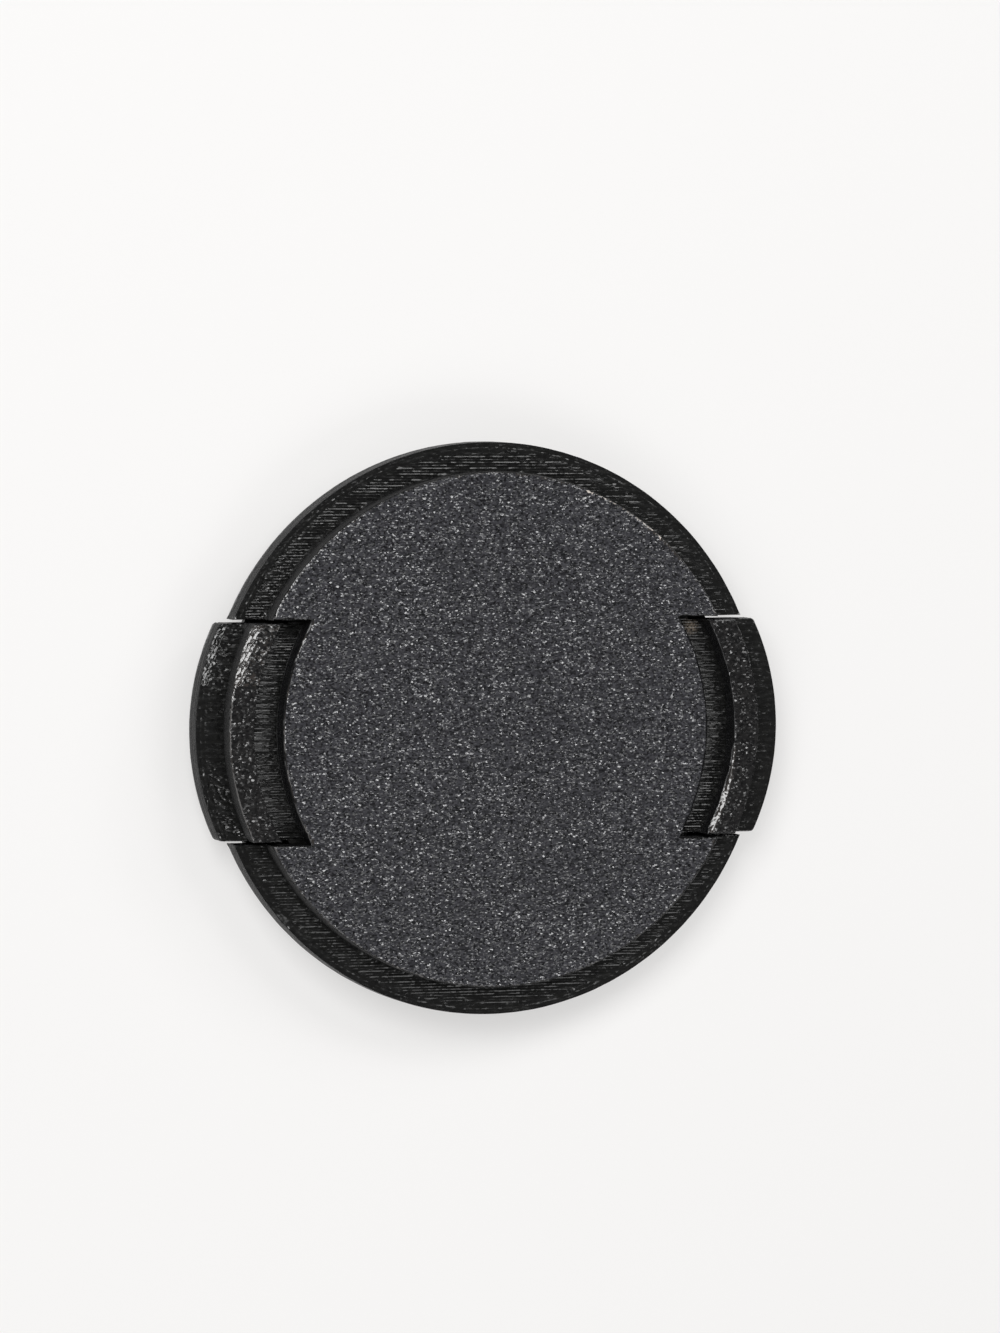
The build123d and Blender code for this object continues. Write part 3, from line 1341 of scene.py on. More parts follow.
        def relief(points: Array) -> Array:
            """Height of the border lines, or of the fill and its specks inside them, less the chip.

            Args:
                points: Places on the flange.

            Returns:
                Heights that are never above 0, in mm.
            """
            from_edge, angle = self.cap_radius - from_axis(points), bearing(points)
            place = np.column_stack([angle, from_edge * self.line_spread])
            uneven = smooth_noise(place, self.line_wave, Pattern.LEDGE_LINES) - 1
            lines = marks.lines(from_edge) + marks.line_wander * uneven
            specks = marks.specks(points, Pattern.LEDGE_SPECKS)
            specks = specks * np.interp(points[:, 0], self.speck_x, (1.0, 0.0))
            specks = specks * fade(points[:, 1] - self.notch_half_width, self.speck_fade)
            drawn = marks.raster(points, Pattern.LEDGE_FILL + half, marks.raster_pitch, self.fill_broken)
            drawn = np.interp(angle, self.fill_angles, self.fill_shares) * drawn
            return np.where(from_edge < marks.border, lines, drawn + specks) - self.chip(points)

        outline = self.band_outline(self.face_radius, self.cap_radius, half)
        self.skin.level(self.ledge_level, outline, self.ledge_points(half), relief=relief)
        levels = marks.rows(self.ledge_level, self.face_level)
        layers = marks.layers(Pattern.FACE_WALL + half, self.ragged_top if half > 0 else None)
        self.skin.wall(self.upper(self.face_radius) * half, levels, depth=layers, fall=self.face_fall)

    def ledge_points(self, half: int) -> Array:
        """Points inside the flange's top: rows along its fill, finer where it is speckled, and rings.

        Args:
            half: 1 for the upper half, -1 for the lower one.

        Returns:
            Points.
        """
        marks = self.marks
        reach, row_step = (self.cap_radius, self.cap_radius), marks.raster_pitch / marks.raster_rows
        fine = lattice(reach, (marks.speck_step, row_step))
        coarse = lattice(reach, (marks.raster_step, row_step))
        speckled = (fine[:, 0] < self.speck_x[1]) & (fine[:, 1] > 0)
        plain = (coarse[:, 0] > self.speck_x[1]) | (coarse[:, 1] < 0)
        rows = np.concatenate([fine[speckled], coarse[plain]])
        limits = (self.face_radius + WIDE_GAP, self.cap_radius - marks.border - self.fill_seam)
        rows = rows[between(from_axis(rows), limits) & (rows[:, 1] * half > self.notch_half_width + GAP)]
        count = marks.border_lines * self.rings_per_line
        return np.concatenate([rows, self.rim_rings(marks.border, np.arange(1, count + 1) / count, half)])

    def rim_rings(self, width: float, shares: Array, half: int) -> Array:
        """Points on arcs at shares of a width inside one half of the flange's rim, clear of the notches."""
        rings = [self.upper(self.cap_radius) * half * scale for scale in 1 - width * shares / self.cap_radius]
        return np.concatenate([ring[np.abs(ring[:, 1]) > self.notch_half_width + GAP] for ring in rings])

    def rings(self, half: int) -> None:
        """Flange wall and seat, boss ring and the wall of the cavity.

        Args:
            half: 1 for the upper half, -1 for the lower one.
        """
        marks = self.marks
        flange_rows = marks.rows(self.seat_level, self.ledge_level)
        boss_rows = marks.rows(self.plate_thickness, self.seat_level)
        flange = marks.layers(Pattern.FLANGE_WALL + half, seat=self.seat_level)
        boss = marks.layers(Pattern.BOSS_WALL + half)
        self.skin.wall(self.upper(self.cap_radius) * half, flange_rows, depth=flange, fall=self.chip)
        self.skin.wall(self.upper(self.boss_radius) * half, boss_rows, depth=boss)
        self.skin.wall(self.upper(self.cavity_radius) * half, self.cavity_rows())
        shares = np.arange(1, self.seat_rings) / self.seat_rings
        lines = self.rim_rings(self.cap_radius - self.boss_radius, shares, half)
        outline = self.band_outline(self.boss_radius, self.cap_radius, half)
        self.skin.level(self.seat_level, outline, lines, relief=self.seat_relief)
        outline = self.band_outline(self.cavity_radius, self.boss_radius, half)
        self.skin.level(self.plate_thickness, outline)

    def seat_relief(self, points: Array) -> Array:
        """Height of the lines of filament on the flange's seat, which go into it."""
        return -self.marks.lines(self.cap_radius - from_axis(points))

    def cavity_rows(self) -> Array:
        """Heights of the rows of the cavity's wall."""
        return np.array([self.plate_thickness, self.seat_level, self.ledge_level, self.ceiling_level])

    def notch_side(self, across: int, up: int) -> None:
        """Flat side of a notch, where the section of the cover shows.

        Args:
            across: 1 for the right notch, -1 for the left one.
            up: 1 for the upper side, -1 for the lower one.
        """
        foot, seat, ledge, ceiling = self.cavity_rows()
        recess, cavity, face = self.recess_radius, self.cavity_radius, self.face_radius
        boss, cap, top, rows = self.boss_radius, self.cap_radius, self.face_level, self.marks.rows
        outline = closed(
            level_line(self.notch(recess, cavity), ceiling),
            plumb_line(self.edge_x(cavity), self.cavity_rows())[::-1],
            level_line(self.notch(cavity, boss), foot),
            plumb_line(self.edge_x(boss), rows(foot, seat)),
            level_line(self.notch(boss, cap), seat),
            plumb_line(self.edge_x(cap), rows(seat, ledge)),
            level_line(self.notch(face, cap), ledge)[::-1],
            plumb_line(self.edge_x(face), rows(ledge, top)),
            level_line(self.notch(recess, face), top)[::-1],
            plumb_line(self.edge_x(recess), rows(ceiling, top))[::-1],
        )
        inner = inner_rows(outline, rows(foot, top), self.notch_step)
        layers = self.marks.layers(Pattern.NOTCH_SIDE + 2 * across + up)
        origin = (0.0, up * self.notch_half_width)
        self.skin.upright(origin, (across, 0.0), outline, inner, depth=layers, side=up * across)

    def inside_of_cover(self) -> None:
        """Ceiling of the cavity with its guide ribs, spring abutment and posts."""
        foot, ceiling, skin = self.plate_thickness, self.ceiling_level, self.skin
        low, high = self.rib_edges
        length = self.rib_half_length
        ribs = [box_outline((-length, side * low), (length, side * high)) for side in (1, -1)]
        for rib in ribs:
            skin.wall(rib, (foot, ceiling), wraps=True)
            skin.level(foot, rib)
        half_x, half_y = self.abutment_face, self.abutment_half_width
        abutment = box_outline((-half_x, -half_y), (half_x, half_y))
        skin.level(foot, abutment)
        end, flank = (box_outline((-half, foot), (half, ceiling)) for half in (half_y, half_x))
        for side in (1.0, -1.0):
            skin.upright((side * half_x, 0.0), (0.0, 1.0), end, holes=[self.peg_ring()])
            skin.upright((0.0, side * half_y), (1.0, 0.0), flank)
            skin.peg(self.peg_ring(), side * half_x, side * (half_x + self.peg_length))
        posts = [circle(self.post_radius, self.post_sides, centre) for centre in self.post_centres()]
        spigots = [circle(self.spigot_radius, self.spigot_sides, centre) for centre in self.post_centres()]
        for post, spigot in zip(posts, spigots):
            skin.wall(post, (foot, ceiling), wraps=True)
            skin.level(foot, post, holes=[spigot])
            skin.wall(spigot, (0.0, foot), wraps=True)
            skin.level(0.0, spigot)
        skin.level(ceiling, self.disc_outline(self.cavity_radius), holes=[*ribs, abutment, *posts])


class CrestEdge(Enum):
    """The two long edges of a tab's crest."""

    INNER = "towards the face"
    OUTER = "towards the finger"


@dataclass(frozen=True, kw_only=True)
class CrestWear:
    """A crest edge that is rubbed smooth, in millimetres on the right-hand tab.

    It is worn below the start's y, and thinly between there and the trace's y. It falls away over its width
    with the given power of the distance, and may be smeared out over the finger recess in a lip, which goes
    on falling up to the share's limit.
    """

    edge: CrestEdge
    depth: float
    width: float
    start: float
    trace: float
    trace_share: float
    roughness: float
    power: float = 1.0
    lip: float = 0.0
    share_limit: float = 2.0
    start_fade: float = 0.4
    trace_fade: float = 0.2

    def amount(self, y: Array) -> Array:
        """Share of the full wear at a place along the edge: 1 below the start, a trace above it, then 0.

        Args:
            y: Places along the edge in mm.

        Returns:
            Shares from 0 to 1.
        """
        ends = self.trace + self.trace_fade * np.array([-1.0, 1.0])
        stops = (self.start - self.start_fade, self.start, *ends)
        return np.interp(y, stops, (1.0, self.trace_share, self.trace_share, 0.0))


@dataclass(frozen=True, kw_only=True)
class EdgeHatch:
    """Fine slanting scores beside a tab's outer edge, in millimetres and degrees on the right-hand tab.

    They lie below the start's y. Each score rises along the lean over the rise's share of its pitch.
    """

    start: float
    width: float
    pitch: float
    slope: float
    lean: float
    middle: tuple[float, float]
    reach: float
    rise: float = 0.75
    rows: int = 8
    step: float = 0.12
    mean: float = 0.9
    swing: float = 0.35
    wave: float = 0.45
    start_fade: float = 0.15
    side_fade: float = 0.12

    @property
    def axes(self) -> Array:
        """Unit vectors along the scores and across them, as the rows of a matrix."""
        x, y = unit(np.radians([self.lean]))[0]
        return np.array([(y, -x), (x, y)])

    def laid_over(self, points: Array, from_edge: Relief, fits: Relief) -> Array:
        """Put a grid whose rows run along the scores in place of the points that it covers.

        Args:
            points: Points of the surface so far.
            from_edge: Gives the distance of places from the scored edge.
            fits: Says which places are clear of the surface's other edges.

        Returns:
            Points, shape (m, 2).
        """
        steps = (self.step, self.pitch / self.rows)
        grid = lattice((self.reach, self.reach), steps) @ self.axes + self.middle
        in_strip = between(from_edge(grid), (FINE_GAP, self.width)) & (grid[:, 1] < self.start) & fits(grid)
        kept = points[(points[:, 1] > self.start) | (from_edge(points) > self.width)]
        return np.concatenate([kept, grid[in_strip]])

    def height(self, points: Array, from_edge: Array, seed: int) -> Array:
        """Depth of the scores.

        Formula: a saw tooth across the scores, whose depth wanders, and which fades out at the start and at
        its width from the edge.

        Args:
            points: Places.
            from_edge: Distance of each place from the tab's outer edge.
            seed: A number that picks the pattern.

        Returns:
            Heights that are never above 0, in mm.
        """
        tooth = ((points - self.middle) @ self.axes[1]) / self.pitch
        part = tooth - np.floor(tooth + TINY)
        saw = np.minimum(part / self.rise, (1 - part) / (1 - self.rise)) - 1
        wander = self.mean + self.swing * smooth_noise(points, self.wave, seed)
        depth = self.rise * self.pitch * self.slope * wander
        depth = depth * fade(self.start - points[:, 1], self.start_fade)
        return depth * fade(self.width - from_edge, self.side_fade) * saw


@dataclass(kw_only=True)
class ReleaseTab(PrintedPiece):
    """Sliding tab with a raised finger crest, stop ears, a spring seat and a threaded catch.

    It is worked out for the right side, and the left one is turned half a turn.
    """

    reach: float
    seed: int
    wear: CrestWear
    hatch: EdgeHatch | None = None
    crest_hatch: EdgeHatch | None = None
    specks: float = 1.0
    crown: float = 0.0
    half_width: float = 10.2
    corner: float = 0.5
    corner_points: int = 6
    crest_centre: float = 2.6
    crest_outer: float = 23.3
    ear_half_width: float = 12.6
    ear_radius: float = 22.1
    ear_step: float = 1.5
    ear_gap: float = 0.15
    seat_half_width: float = 3.2
    seat_end: float = 14.5
    runner_level: float = 1.4
    catch_half_angle: float = 22.0
    catch_columns: int = 60
    catch_inner: float = 23.25
    tooth_root: float = 25.45
    tooth_tip: float = 25.9
    tooth_count: int = 2
    thread_pitch: float = 0.75
    tooth_crest: float = 0.1
    raster_pitch: float = 0.2575
    ledge_share: float = 0.3
    ledge_fade: float = 0.5
    speck_y: float = 2.0
    border_depth: float = 0.03
    rings_per_line: int = 5
    crest_rings_per_line: int = 4
    crest_line_share: float = 0.45
    crest_step: float = 0.09
    crest_gap: float = 0.2
    end_fade: float = 0.6
    bevel_share: float = 0.5
    width_swing: float = 0.1
    width_wave: float = 0.5
    pit_fade: float = 0.2
    lip_fade: float = 0.6
    floor_width: float = 3.0
    back_step: float = 2.0
    arc_step: float = 0.35

    def shape(self) -> None:
        """Add the crest, the ledge and floor beside it, the flanks, the underside and the catch."""
        self.crest()
        self.ledge()
        self.recess_floor()
        self.flanks()
        self.underside()
        self.catch()

    @property
    def outer_centre(self) -> float:
        """X of the centre of the outer wall's arc."""
        return self.reach - self.crest_outer

    @property
    def flank_stops(self) -> tuple[float, float, float, float]:
        """X along the flank of its stops.

        Returns:
            X of the ears' stop face, of both crest walls and of the outer wall, in mm.
        """
        ear = math.sqrt(self.ear_radius**2 - self.half_width**2)
        walls = [
            self.crest_centre + math.sqrt(radius**2 - self.half_width**2)
            for radius in (self.recess_radius, self.crest_outer)
        ]
        return (ear, *walls, self.outer_path()[-1, 0])

    def crest_arc(self, radius: float, step: float | None = None) -> Array:
        """Arc about the crest's centre between the tab's flanks, from below upwards."""
        end = lean(self.half_width, radius)
        return arc(radius, -end, end, step or self.arc_step, self.crest_centre)

    def outer_path(self) -> Array:
        """Outer wall from below upwards: a small round corner, the long arc and the other corner.

        Formula: each corner's centre is a corner radius inside both the flank and the long arc.

        Returns:
            Points.
        """
        inner_radius = self.crest_outer - self.corner
        corner_y = self.half_width - self.corner
        corner_x = self.outer_centre + math.sqrt(inner_radius**2 - corner_y**2)
        end = lean(corner_y, inner_radius)
        main = arc(self.crest_outer, -end, end, self.arc_step, self.outer_centre)
        turn = np.radians(np.linspace(end, 90, self.corner_points))
        upper = unit(turn) * self.corner + (corner_x, corner_y)
        return np.concatenate([upper[:0:-1] * (1, -1), main, upper[1:]])

    def flank_x(self, first: int, last: int) -> Array:
        """X of the samples along the flank between two of its stops, by their places in the row of stops."""
        return divided(self.flank_stops[first : last + 1], self.arc_step)

    def flank(self, first: int, last: int) -> Array:
        """Samples along the upper flank between two of its stops."""
        return level_line(self.flank_x(first, last), self.half_width)

    def ear(self) -> Array:
        """Upper ear from the tab's flank to the inner end.

        Returns:
            Points.
        """
        start, end = (lean(y, self.ear_radius) for y in (self.half_width, self.ear_half_width))
        stop_face = arc(self.ear_radius, start, end, self.arc_step)
        outside = segment(stop_face[-1], (self.tab_inner_end, self.ear_half_width), self.ear_step)
        return np.concatenate([stop_face, outside[1:]])

    def crest(self) -> None:
        """Pebbled top of the crest and its two curved walls."""
        marks = self.marks
        inner, outer = self.crest_arc(self.recess_radius), self.crest_arc(self.crest_outer)
        end = self.flank(1, 2)
        outline = closed(outer, end[::-1], inner[::-1], end * (1, -1))
        steps = round(self.crest_rings_per_line * (self.crest_outer - self.recess_radius) / marks.line)
        radii = np.linspace(self.recess_radius, self.crest_outer, steps + 1)[1:-1]
        points = np.concatenate([self.crest_arc(radius, self.crest_step) for radius in radii])
        points = points[self.clear_of_ends(points)]
        if self.crest_hatch is not None:
            points = self.crest_hatch.laid_over(points, self.from_outer_edge, self.clear_of_ends)
        self.skin.level(
            self.face_level, outline, points, relief=self.crest_relief, surface=Surface.CREST,
            marked=((Surface.RUBBED, self.is_worn),),
        )
        levels = marks.rows(self.ledge_level, self.face_level)
        layers = marks.layers(self.seed + TabPattern.OUTER_WALL)
        self.skin.wall(outer, levels, depth=layers, fall=self.outer_fall)
        self.skin.wall(inner, levels, depth=self.inner_wall(), side=-1.0, fall=self.crest_fall)

    def clear_of_ends(self, points: Array) -> Array:
        """Say which places on the crest are clear of its ends."""
        return np.abs(points[:, 1]) < self.half_width - self.crest_gap

    def from_inner_edge(self, points: Array) -> Array:
        """Distances of places on the crest from its inner edge."""
        return from_axis(points, self.crest_centre) - self.recess_radius

    def from_outer_edge(self, points: Array) -> Array:
        """Distances of places on the crest from its outer edge."""
        return self.crest_outer - from_axis(points, self.crest_centre)

    def from_worn_edge(self, points: Array) -> Array:
        """Distances of places on the crest from the edge that is rubbed smooth."""
        inner = self.wear.edge is CrestEdge.INNER
        return self.from_inner_edge(points) if inner else self.from_outer_edge(points)

    def to_ends(self, y: Array) -> Array:
        """Share of the crest's relief that is left towards its ends, where it fades out."""
        return fade(self.half_width - np.abs(y), self.end_fade)

    def crest_relief(self, points: Array) -> Array:
        """Height of the crest's top.

        Formula: pebbles and the lines along its edges, worn down where it is rubbed, less the fall beside
        its edges, with any scores and pits.

        Args:
            points: Places on the crest.

        Returns:
            Heights that are never above 0, in mm.
        """
        grain = self.marks.grain(points, self.seed + TabPattern.CREST_GRAIN)
        lines = self.crest_line_share * self.marks.lines(self.from_outer_edge(points))
        rough = np.where(self.is_worn(points), self.wear.roughness, 1.0)
        return rough * (grain + lines) - self.outer_fall(points) + self.pits(points)

    def inner_wall(self) -> Depth:
        """Skin of the crest's inner wall: printed layers, with the lip that hangs out at its top.

        Returns:
            A function of distance along the wall and height, in mm.
        """
        layers = self.marks.layers(self.seed + TabPattern.INNER_WALL)
        half_angle = math.asin(self.half_width / self.recess_radius)

        def depth(along: Array, height: Array) -> Array:
            """How far the skin stands out."""
            y = self.recess_radius * np.sin(along / self.recess_radius - half_angle)
            return layers(along, height) + self.lip(y) * (1 - fade(self.face_level - height, self.lip_fade))

        return depth

    def lip(self, y: Array) -> Array:
        """How far the smeared edge hangs over the finger recess, less and less towards the crest's ends."""
        return self.wear.lip * self.wear.amount(y) * self.to_ends(y)

    def worn_width(self, points: Array) -> Array:
        """Width of the rubbed strip beside each place, which wanders along the edge.

        Args:
            points: Places on the crest.

        Returns:
            Widths in mm, which are never 0.
        """
        noise = smooth_noise(points[:, 1:], self.width_wave, self.seed + TabPattern.WORN_WIDTH)
        width = self.wear.width * self.wear.amount(points[:, 1])
        return np.maximum(width * (1 + self.width_swing * noise), TINY)

    def is_worn(self, points: Array) -> Array:
        """Say which places on the crest are rubbed smooth: a strip, the inner bevel and a hatch's pits."""
        bevel = self.from_inner_edge(points) < self.bevel_share * self.marks.edge_width
        return bevel | (self.from_worn_edge(points) < self.worn_width(points)) | (self.pits(points) < 0)

    def pits(self, points: Array) -> Array:
        """Depth of the pits beside a hatch: specks that fade out at the hatch's start and the crest's ends.

        Args:
            points: Places on the crest.

        Returns:
            Heights that are never above 0, in mm.
        """
        if self.hatch is None:
            return np.zeros(len(points))
        beside = fade(self.hatch.start - points[:, 1], self.pit_fade)
        return beside * self.to_ends(points[:, 1]) * self.marks.specks(points, self.seed + TabPattern.PITS)

    def crest_fall(self, points: Array) -> Array:
        """How far the crest's top falls away beside its edges.

        Formula: the plain fall of a printed edge, or the wear's depth times a power of the share of its width
        that is left where that is more, plus a crown that grows with the square of the distance from the
        inner edge. It all fades out at the crest's ends.

        Args:
            points: Places on the crest.

        Returns:
            Depths in mm.
        """
        inner, outer = self.from_inner_edge(points), self.from_outer_edge(points)
        plain = self.marks.fall(points, np.minimum(inner, outer), self.seed + TabPattern.CREST_FALL)
        away = self.from_worn_edge(points)
        away = np.where(away < TINY, -self.lip(points[:, 1]), away)
        share = np.clip(1 - away / self.worn_width(points), 0, self.wear.share_limit)
        worn = self.wear.depth * self.wear.amount(points[:, 1]) * share**self.wear.power
        crown = self.crown * (inner / (self.crest_outer - self.recess_radius)) ** 2
        return self.to_ends(points[:, 1]) * (np.maximum(plain, worn) + crown)

    def outer_fall(self, points: Array) -> Array:
        """How far the crest's top falls away, with any scores beside its outer edge.

        Args:
            points: Places on the crest.

        Returns:
            Depths in mm.
        """
        fall = self.crest_fall(points)
        if self.crest_hatch is not None:
            seed = self.seed + TabPattern.CREST_SCORES
            scores = self.crest_hatch.height(points, self.from_outer_edge(points), seed)
            fall = fall - self.to_ends(points[:, 1]) * scores
        return fall

    def from_rim(self, points: Array) -> Array:
        """Distances of places on the ledge from the tab's outer wall."""
        return self.crest_outer - from_axis(points, self.outer_centre)

    def fill_relief(self, points: Array) -> Array:
        """Height of the straight fill beside the crest."""
        return self.marks.raster(points, self.seed + TabPattern.FILL, self.raster_pitch)

    def ledge_relief(self, points: Array) -> Array:
        """Height of the outer ledge.

        Formula: curved lines along the border, a share of the straight fill inside them, specks away from the
        ledge's middle, and any scores. It all fades out at the tab's flanks.

        Args:
            points: Places on the ledge.

        Returns:
            Heights that are never above 0, in mm.
        """
        marks, y = self.marks, np.abs(points[:, 1])
        from_rim = self.from_rim(points)
        lines = self.border_depth * (bead(from_rim, marks.line) - 1)
        drawn = self.ledge_share * self.fill_relief(points)
        height = np.where(from_rim < marks.border, lines, drawn)
        if self.hatch is not None:
            height = height + self.hatch.height(points, from_rim, self.seed + TabPattern.LEDGE_SCORES)
        specks = marks.specks(points, self.seed + TabPattern.LEDGE_SPECKS)
        specks = self.specks * fade(y - self.speck_y, self.speck_y) * specks
        return (height + specks) * fade(self.half_width - y, self.ledge_fade)

    def ledge(self) -> None:
        """Outer ledge with its curved border lines, and the outer wall."""
        marks = self.marks
        outer, end = self.outer_path(), self.flank(2, 3)
        outline = closed(outer, end[::-1], self.crest_arc(self.crest_outer)[::-1], end * (1, -1))
        steps = (marks.speck_step, self.raster_pitch / marks.raster_rows)
        points = lattice((self.reach, self.half_width), steps)
        on_fill = self.from_rim(points) > marks.border + FINE_GAP
        rings = [points[on_fill & (points[:, 0] > self.tab_inner_end)]]
        count = self.rings_per_line * marks.border_lines
        for radius in self.crest_outer - marks.border * np.arange(1, count + 1) / count:
            end_angle = lean(self.half_width - WIDE_GAP, radius)
            rings.append(arc(radius, -end_angle, end_angle, self.arc_step / 2, self.outer_centre))
        points = np.concatenate(rings)
        points = points[self.on_ledge(points, GAP)]
        if self.hatch is not None:
            points = self.hatch.laid_over(points, self.from_rim, self.on_ledge)
        self.skin.level(self.ledge_level, outline, points, relief=self.ledge_relief)
        layers = marks.layers(self.seed + TabPattern.RIM_WALL, seat=self.seat_level)
        levels = marks.rows(self.seat_level, self.ledge_level)
        self.skin.wall(outer, levels, depth=layers, fall=lambda path: -self.ledge_relief(path))

    def on_ledge(self, points: Array, gap: float = FINE_GAP) -> Array:
        """Say which places lie on the outer ledge, with a gap to the crest, the flanks and the round corners.

        Args:
            points: Places.
            gap: Least distance from the ledge's edges in mm.

        Returns:
            True or False.
        """
        from_crest = from_axis(points, self.crest_centre) - self.crest_outer
        corner_x, corner_y = self.flank_stops[3], self.half_width - self.corner
        y = np.abs(points[:, 1])
        in_corner = (y > corner_y) & (points[:, 0] > corner_x)
        from_corner = self.corner - np.hypot(points[:, 0] - corner_x, y - corner_y)
        return (from_crest > gap) & (y < self.half_width - gap) & ~(in_corner & (from_corner < gap))

    def back(self) -> Array:
        """Samples along the inner end of the tab, from the upper ear to the lower one."""
        corner = np.array([self.tab_inner_end, self.ear_half_width])
        return segment(corner, corner * (1, -1), self.back_step)

    def recess_floor(self) -> None:
        """Floor of the finger recess, with straight fill where it shows beside the cover's face."""
        crest, end, ear = self.crest_arc(self.recess_radius), self.flank(0, 1), self.ear()
        outline = closed(crest, end[::-1], ear, self.back(), ear[::-1] * (1, -1), end * (1, -1))
        steps = (self.marks.raster_step, self.raster_pitch / self.marks.raster_rows)
        points = lattice((self.reach, self.half_width), steps)
        shows = points[:, 0] > self.tab_inner_end + self.floor_width
        clear = -self.from_inner_edge(points) > GAP
        beside_ear = self.ear_radius - from_axis(points) < self.ear_gap
        in_ear = np.abs(points[:, 1]) > self.half_width - GAP
        points = points[shows & clear & ~(in_ear & beside_ear)]
        self.skin.level(self.ledge_level, outline, points, relief=self.fill_relief)

    def flanks(self) -> None:
        """Flat flanks that slide in the notch, and the ears."""
        marks = self.marks
        base_rows = marks.rows(self.seat_level, self.ledge_level)
        crest_rows = marks.rows(self.ledge_level, self.face_level)
        ear, inner, outer, rim = self.flank_stops
        outline = closed(
            level_line(self.flank_x(0, 3), self.seat_level),
            plumb_line(rim, base_rows),
            level_line(self.flank_x(2, 3), self.ledge_level)[::-1],
            plumb_line(outer, crest_rows),
            level_line(self.flank_x(1, 2), self.face_level)[::-1],
            plumb_line(inner, crest_rows)[::-1],
            level_line(self.flank_x(0, 1), self.ledge_level)[::-1],
            plumb_line(ear, base_rows)[::-1],
        )
        points = inner_rows(outline, marks.rows(self.seat_level, self.face_level), self.arc_step)
        for up in (1, -1):
            layers = marks.layers(self.seed + TabPattern.FLANK + up)
            origin = (0.0, up * self.half_width)
            self.skin.upright(origin, (1.0, 0.0), outline, points, depth=layers, side=-up)
            self.skin.wall(self.ear() * (1, up), base_rows)

    def underside(self) -> None:
        """Sliding face under the base, the spring seat with its peg, and the inner end."""
        base, low, inner = self.seat_level, self.runner_level, self.tab_inner_end
        ear, end = self.ear(), self.flank(0, 3)
        half, ear_half = self.seat_half_width, self.ear_half_width
        seat = np.array([(inner, half), (self.seat_end, half), (self.seat_end, -half), (inner, -half)])
        beside_seat = np.array([ear[-1], seat[0]])
        upper = (end[::-1], ear, beside_seat)
        lower = [run[::-1] * (1, -1) for run in reversed(upper)]
        outline = closed(self.outer_path(), *upper, seat, *lower)
        self.skin.level(base, outline, holes=[self.catch_outline()])
        self.skin.wall(seat, (low, base))
        self.skin.level(low, seat)
        rows = self.marks.rows(base, self.ledge_level)
        foot = [(-ear_half, base), (-half, base), (-half, low), (half, low), (half, base), (ear_half, base)]
        section = closed(
            level_line(self.back()[:, 1], self.ledge_level),
            plumb_line(-ear_half, rows)[::-1],
            np.array(foot),
            plumb_line(ear_half, rows),
        )
        self.skin.upright((inner, 0.0), (0.0, 1.0), section, holes=[self.peg_ring()])
        self.skin.peg(self.peg_ring(), inner, inner - self.peg_length)

    def catch_ring(self) -> Array:
        """Directions of the catch's columns from the cap's axis."""
        end = self.catch_half_angle
        return unit(np.radians(np.linspace(-end, end, self.catch_columns)))

    def catch_outline(self) -> Array:
        """Closed footprint of the catch: an arc at the teeth's root and one inside it."""
        ring = self.catch_ring()
        return np.concatenate([ring * self.tooth_root, ring[::-1] * self.catch_inner])

    def catch(self) -> None:
        """Threaded catch: the tooth profile carried round the cap's axis, with an inner wall and flat ends.

        Formula: a point (r, z) of the profile stands at angle a at (r cosine a, r sine a, z).
        """
        root, tip, low, base = self.tooth_root, self.tooth_tip, self.runner_level, self.seat_level
        flank = (self.thread_pitch - self.tooth_crest) / 2
        profile = [(root, low)]
        for tooth in range(self.tooth_count, 0, -1):
            foot = base - tooth * self.thread_pitch
            profile += [(root, foot), (tip, foot + flank), (tip, foot + flank + self.tooth_crest)]
        profile = np.array([*profile, (root, base)])
        ring = self.catch_ring()
        points = np.empty((len(ring), len(profile), 3))
        points[..., :2] = ring[:, None, :] * profile[None, :, :1]
        points[..., 2] = profile[:, 1]
        self.skin.add(points.reshape(-1, 3), grid_triangles(len(ring), len(profile), False), Surface.WALL)
        self.skin.wall(ring * self.catch_inner, (low, base))
        self.skin.level(low, self.catch_outline())
        section = np.concatenate([profile, [(self.catch_inner, base), (self.catch_inner, low)]])
        for direction in (ring[0], ring[-1]):
            self.skin.upright((0.0, 0.0), direction, section)


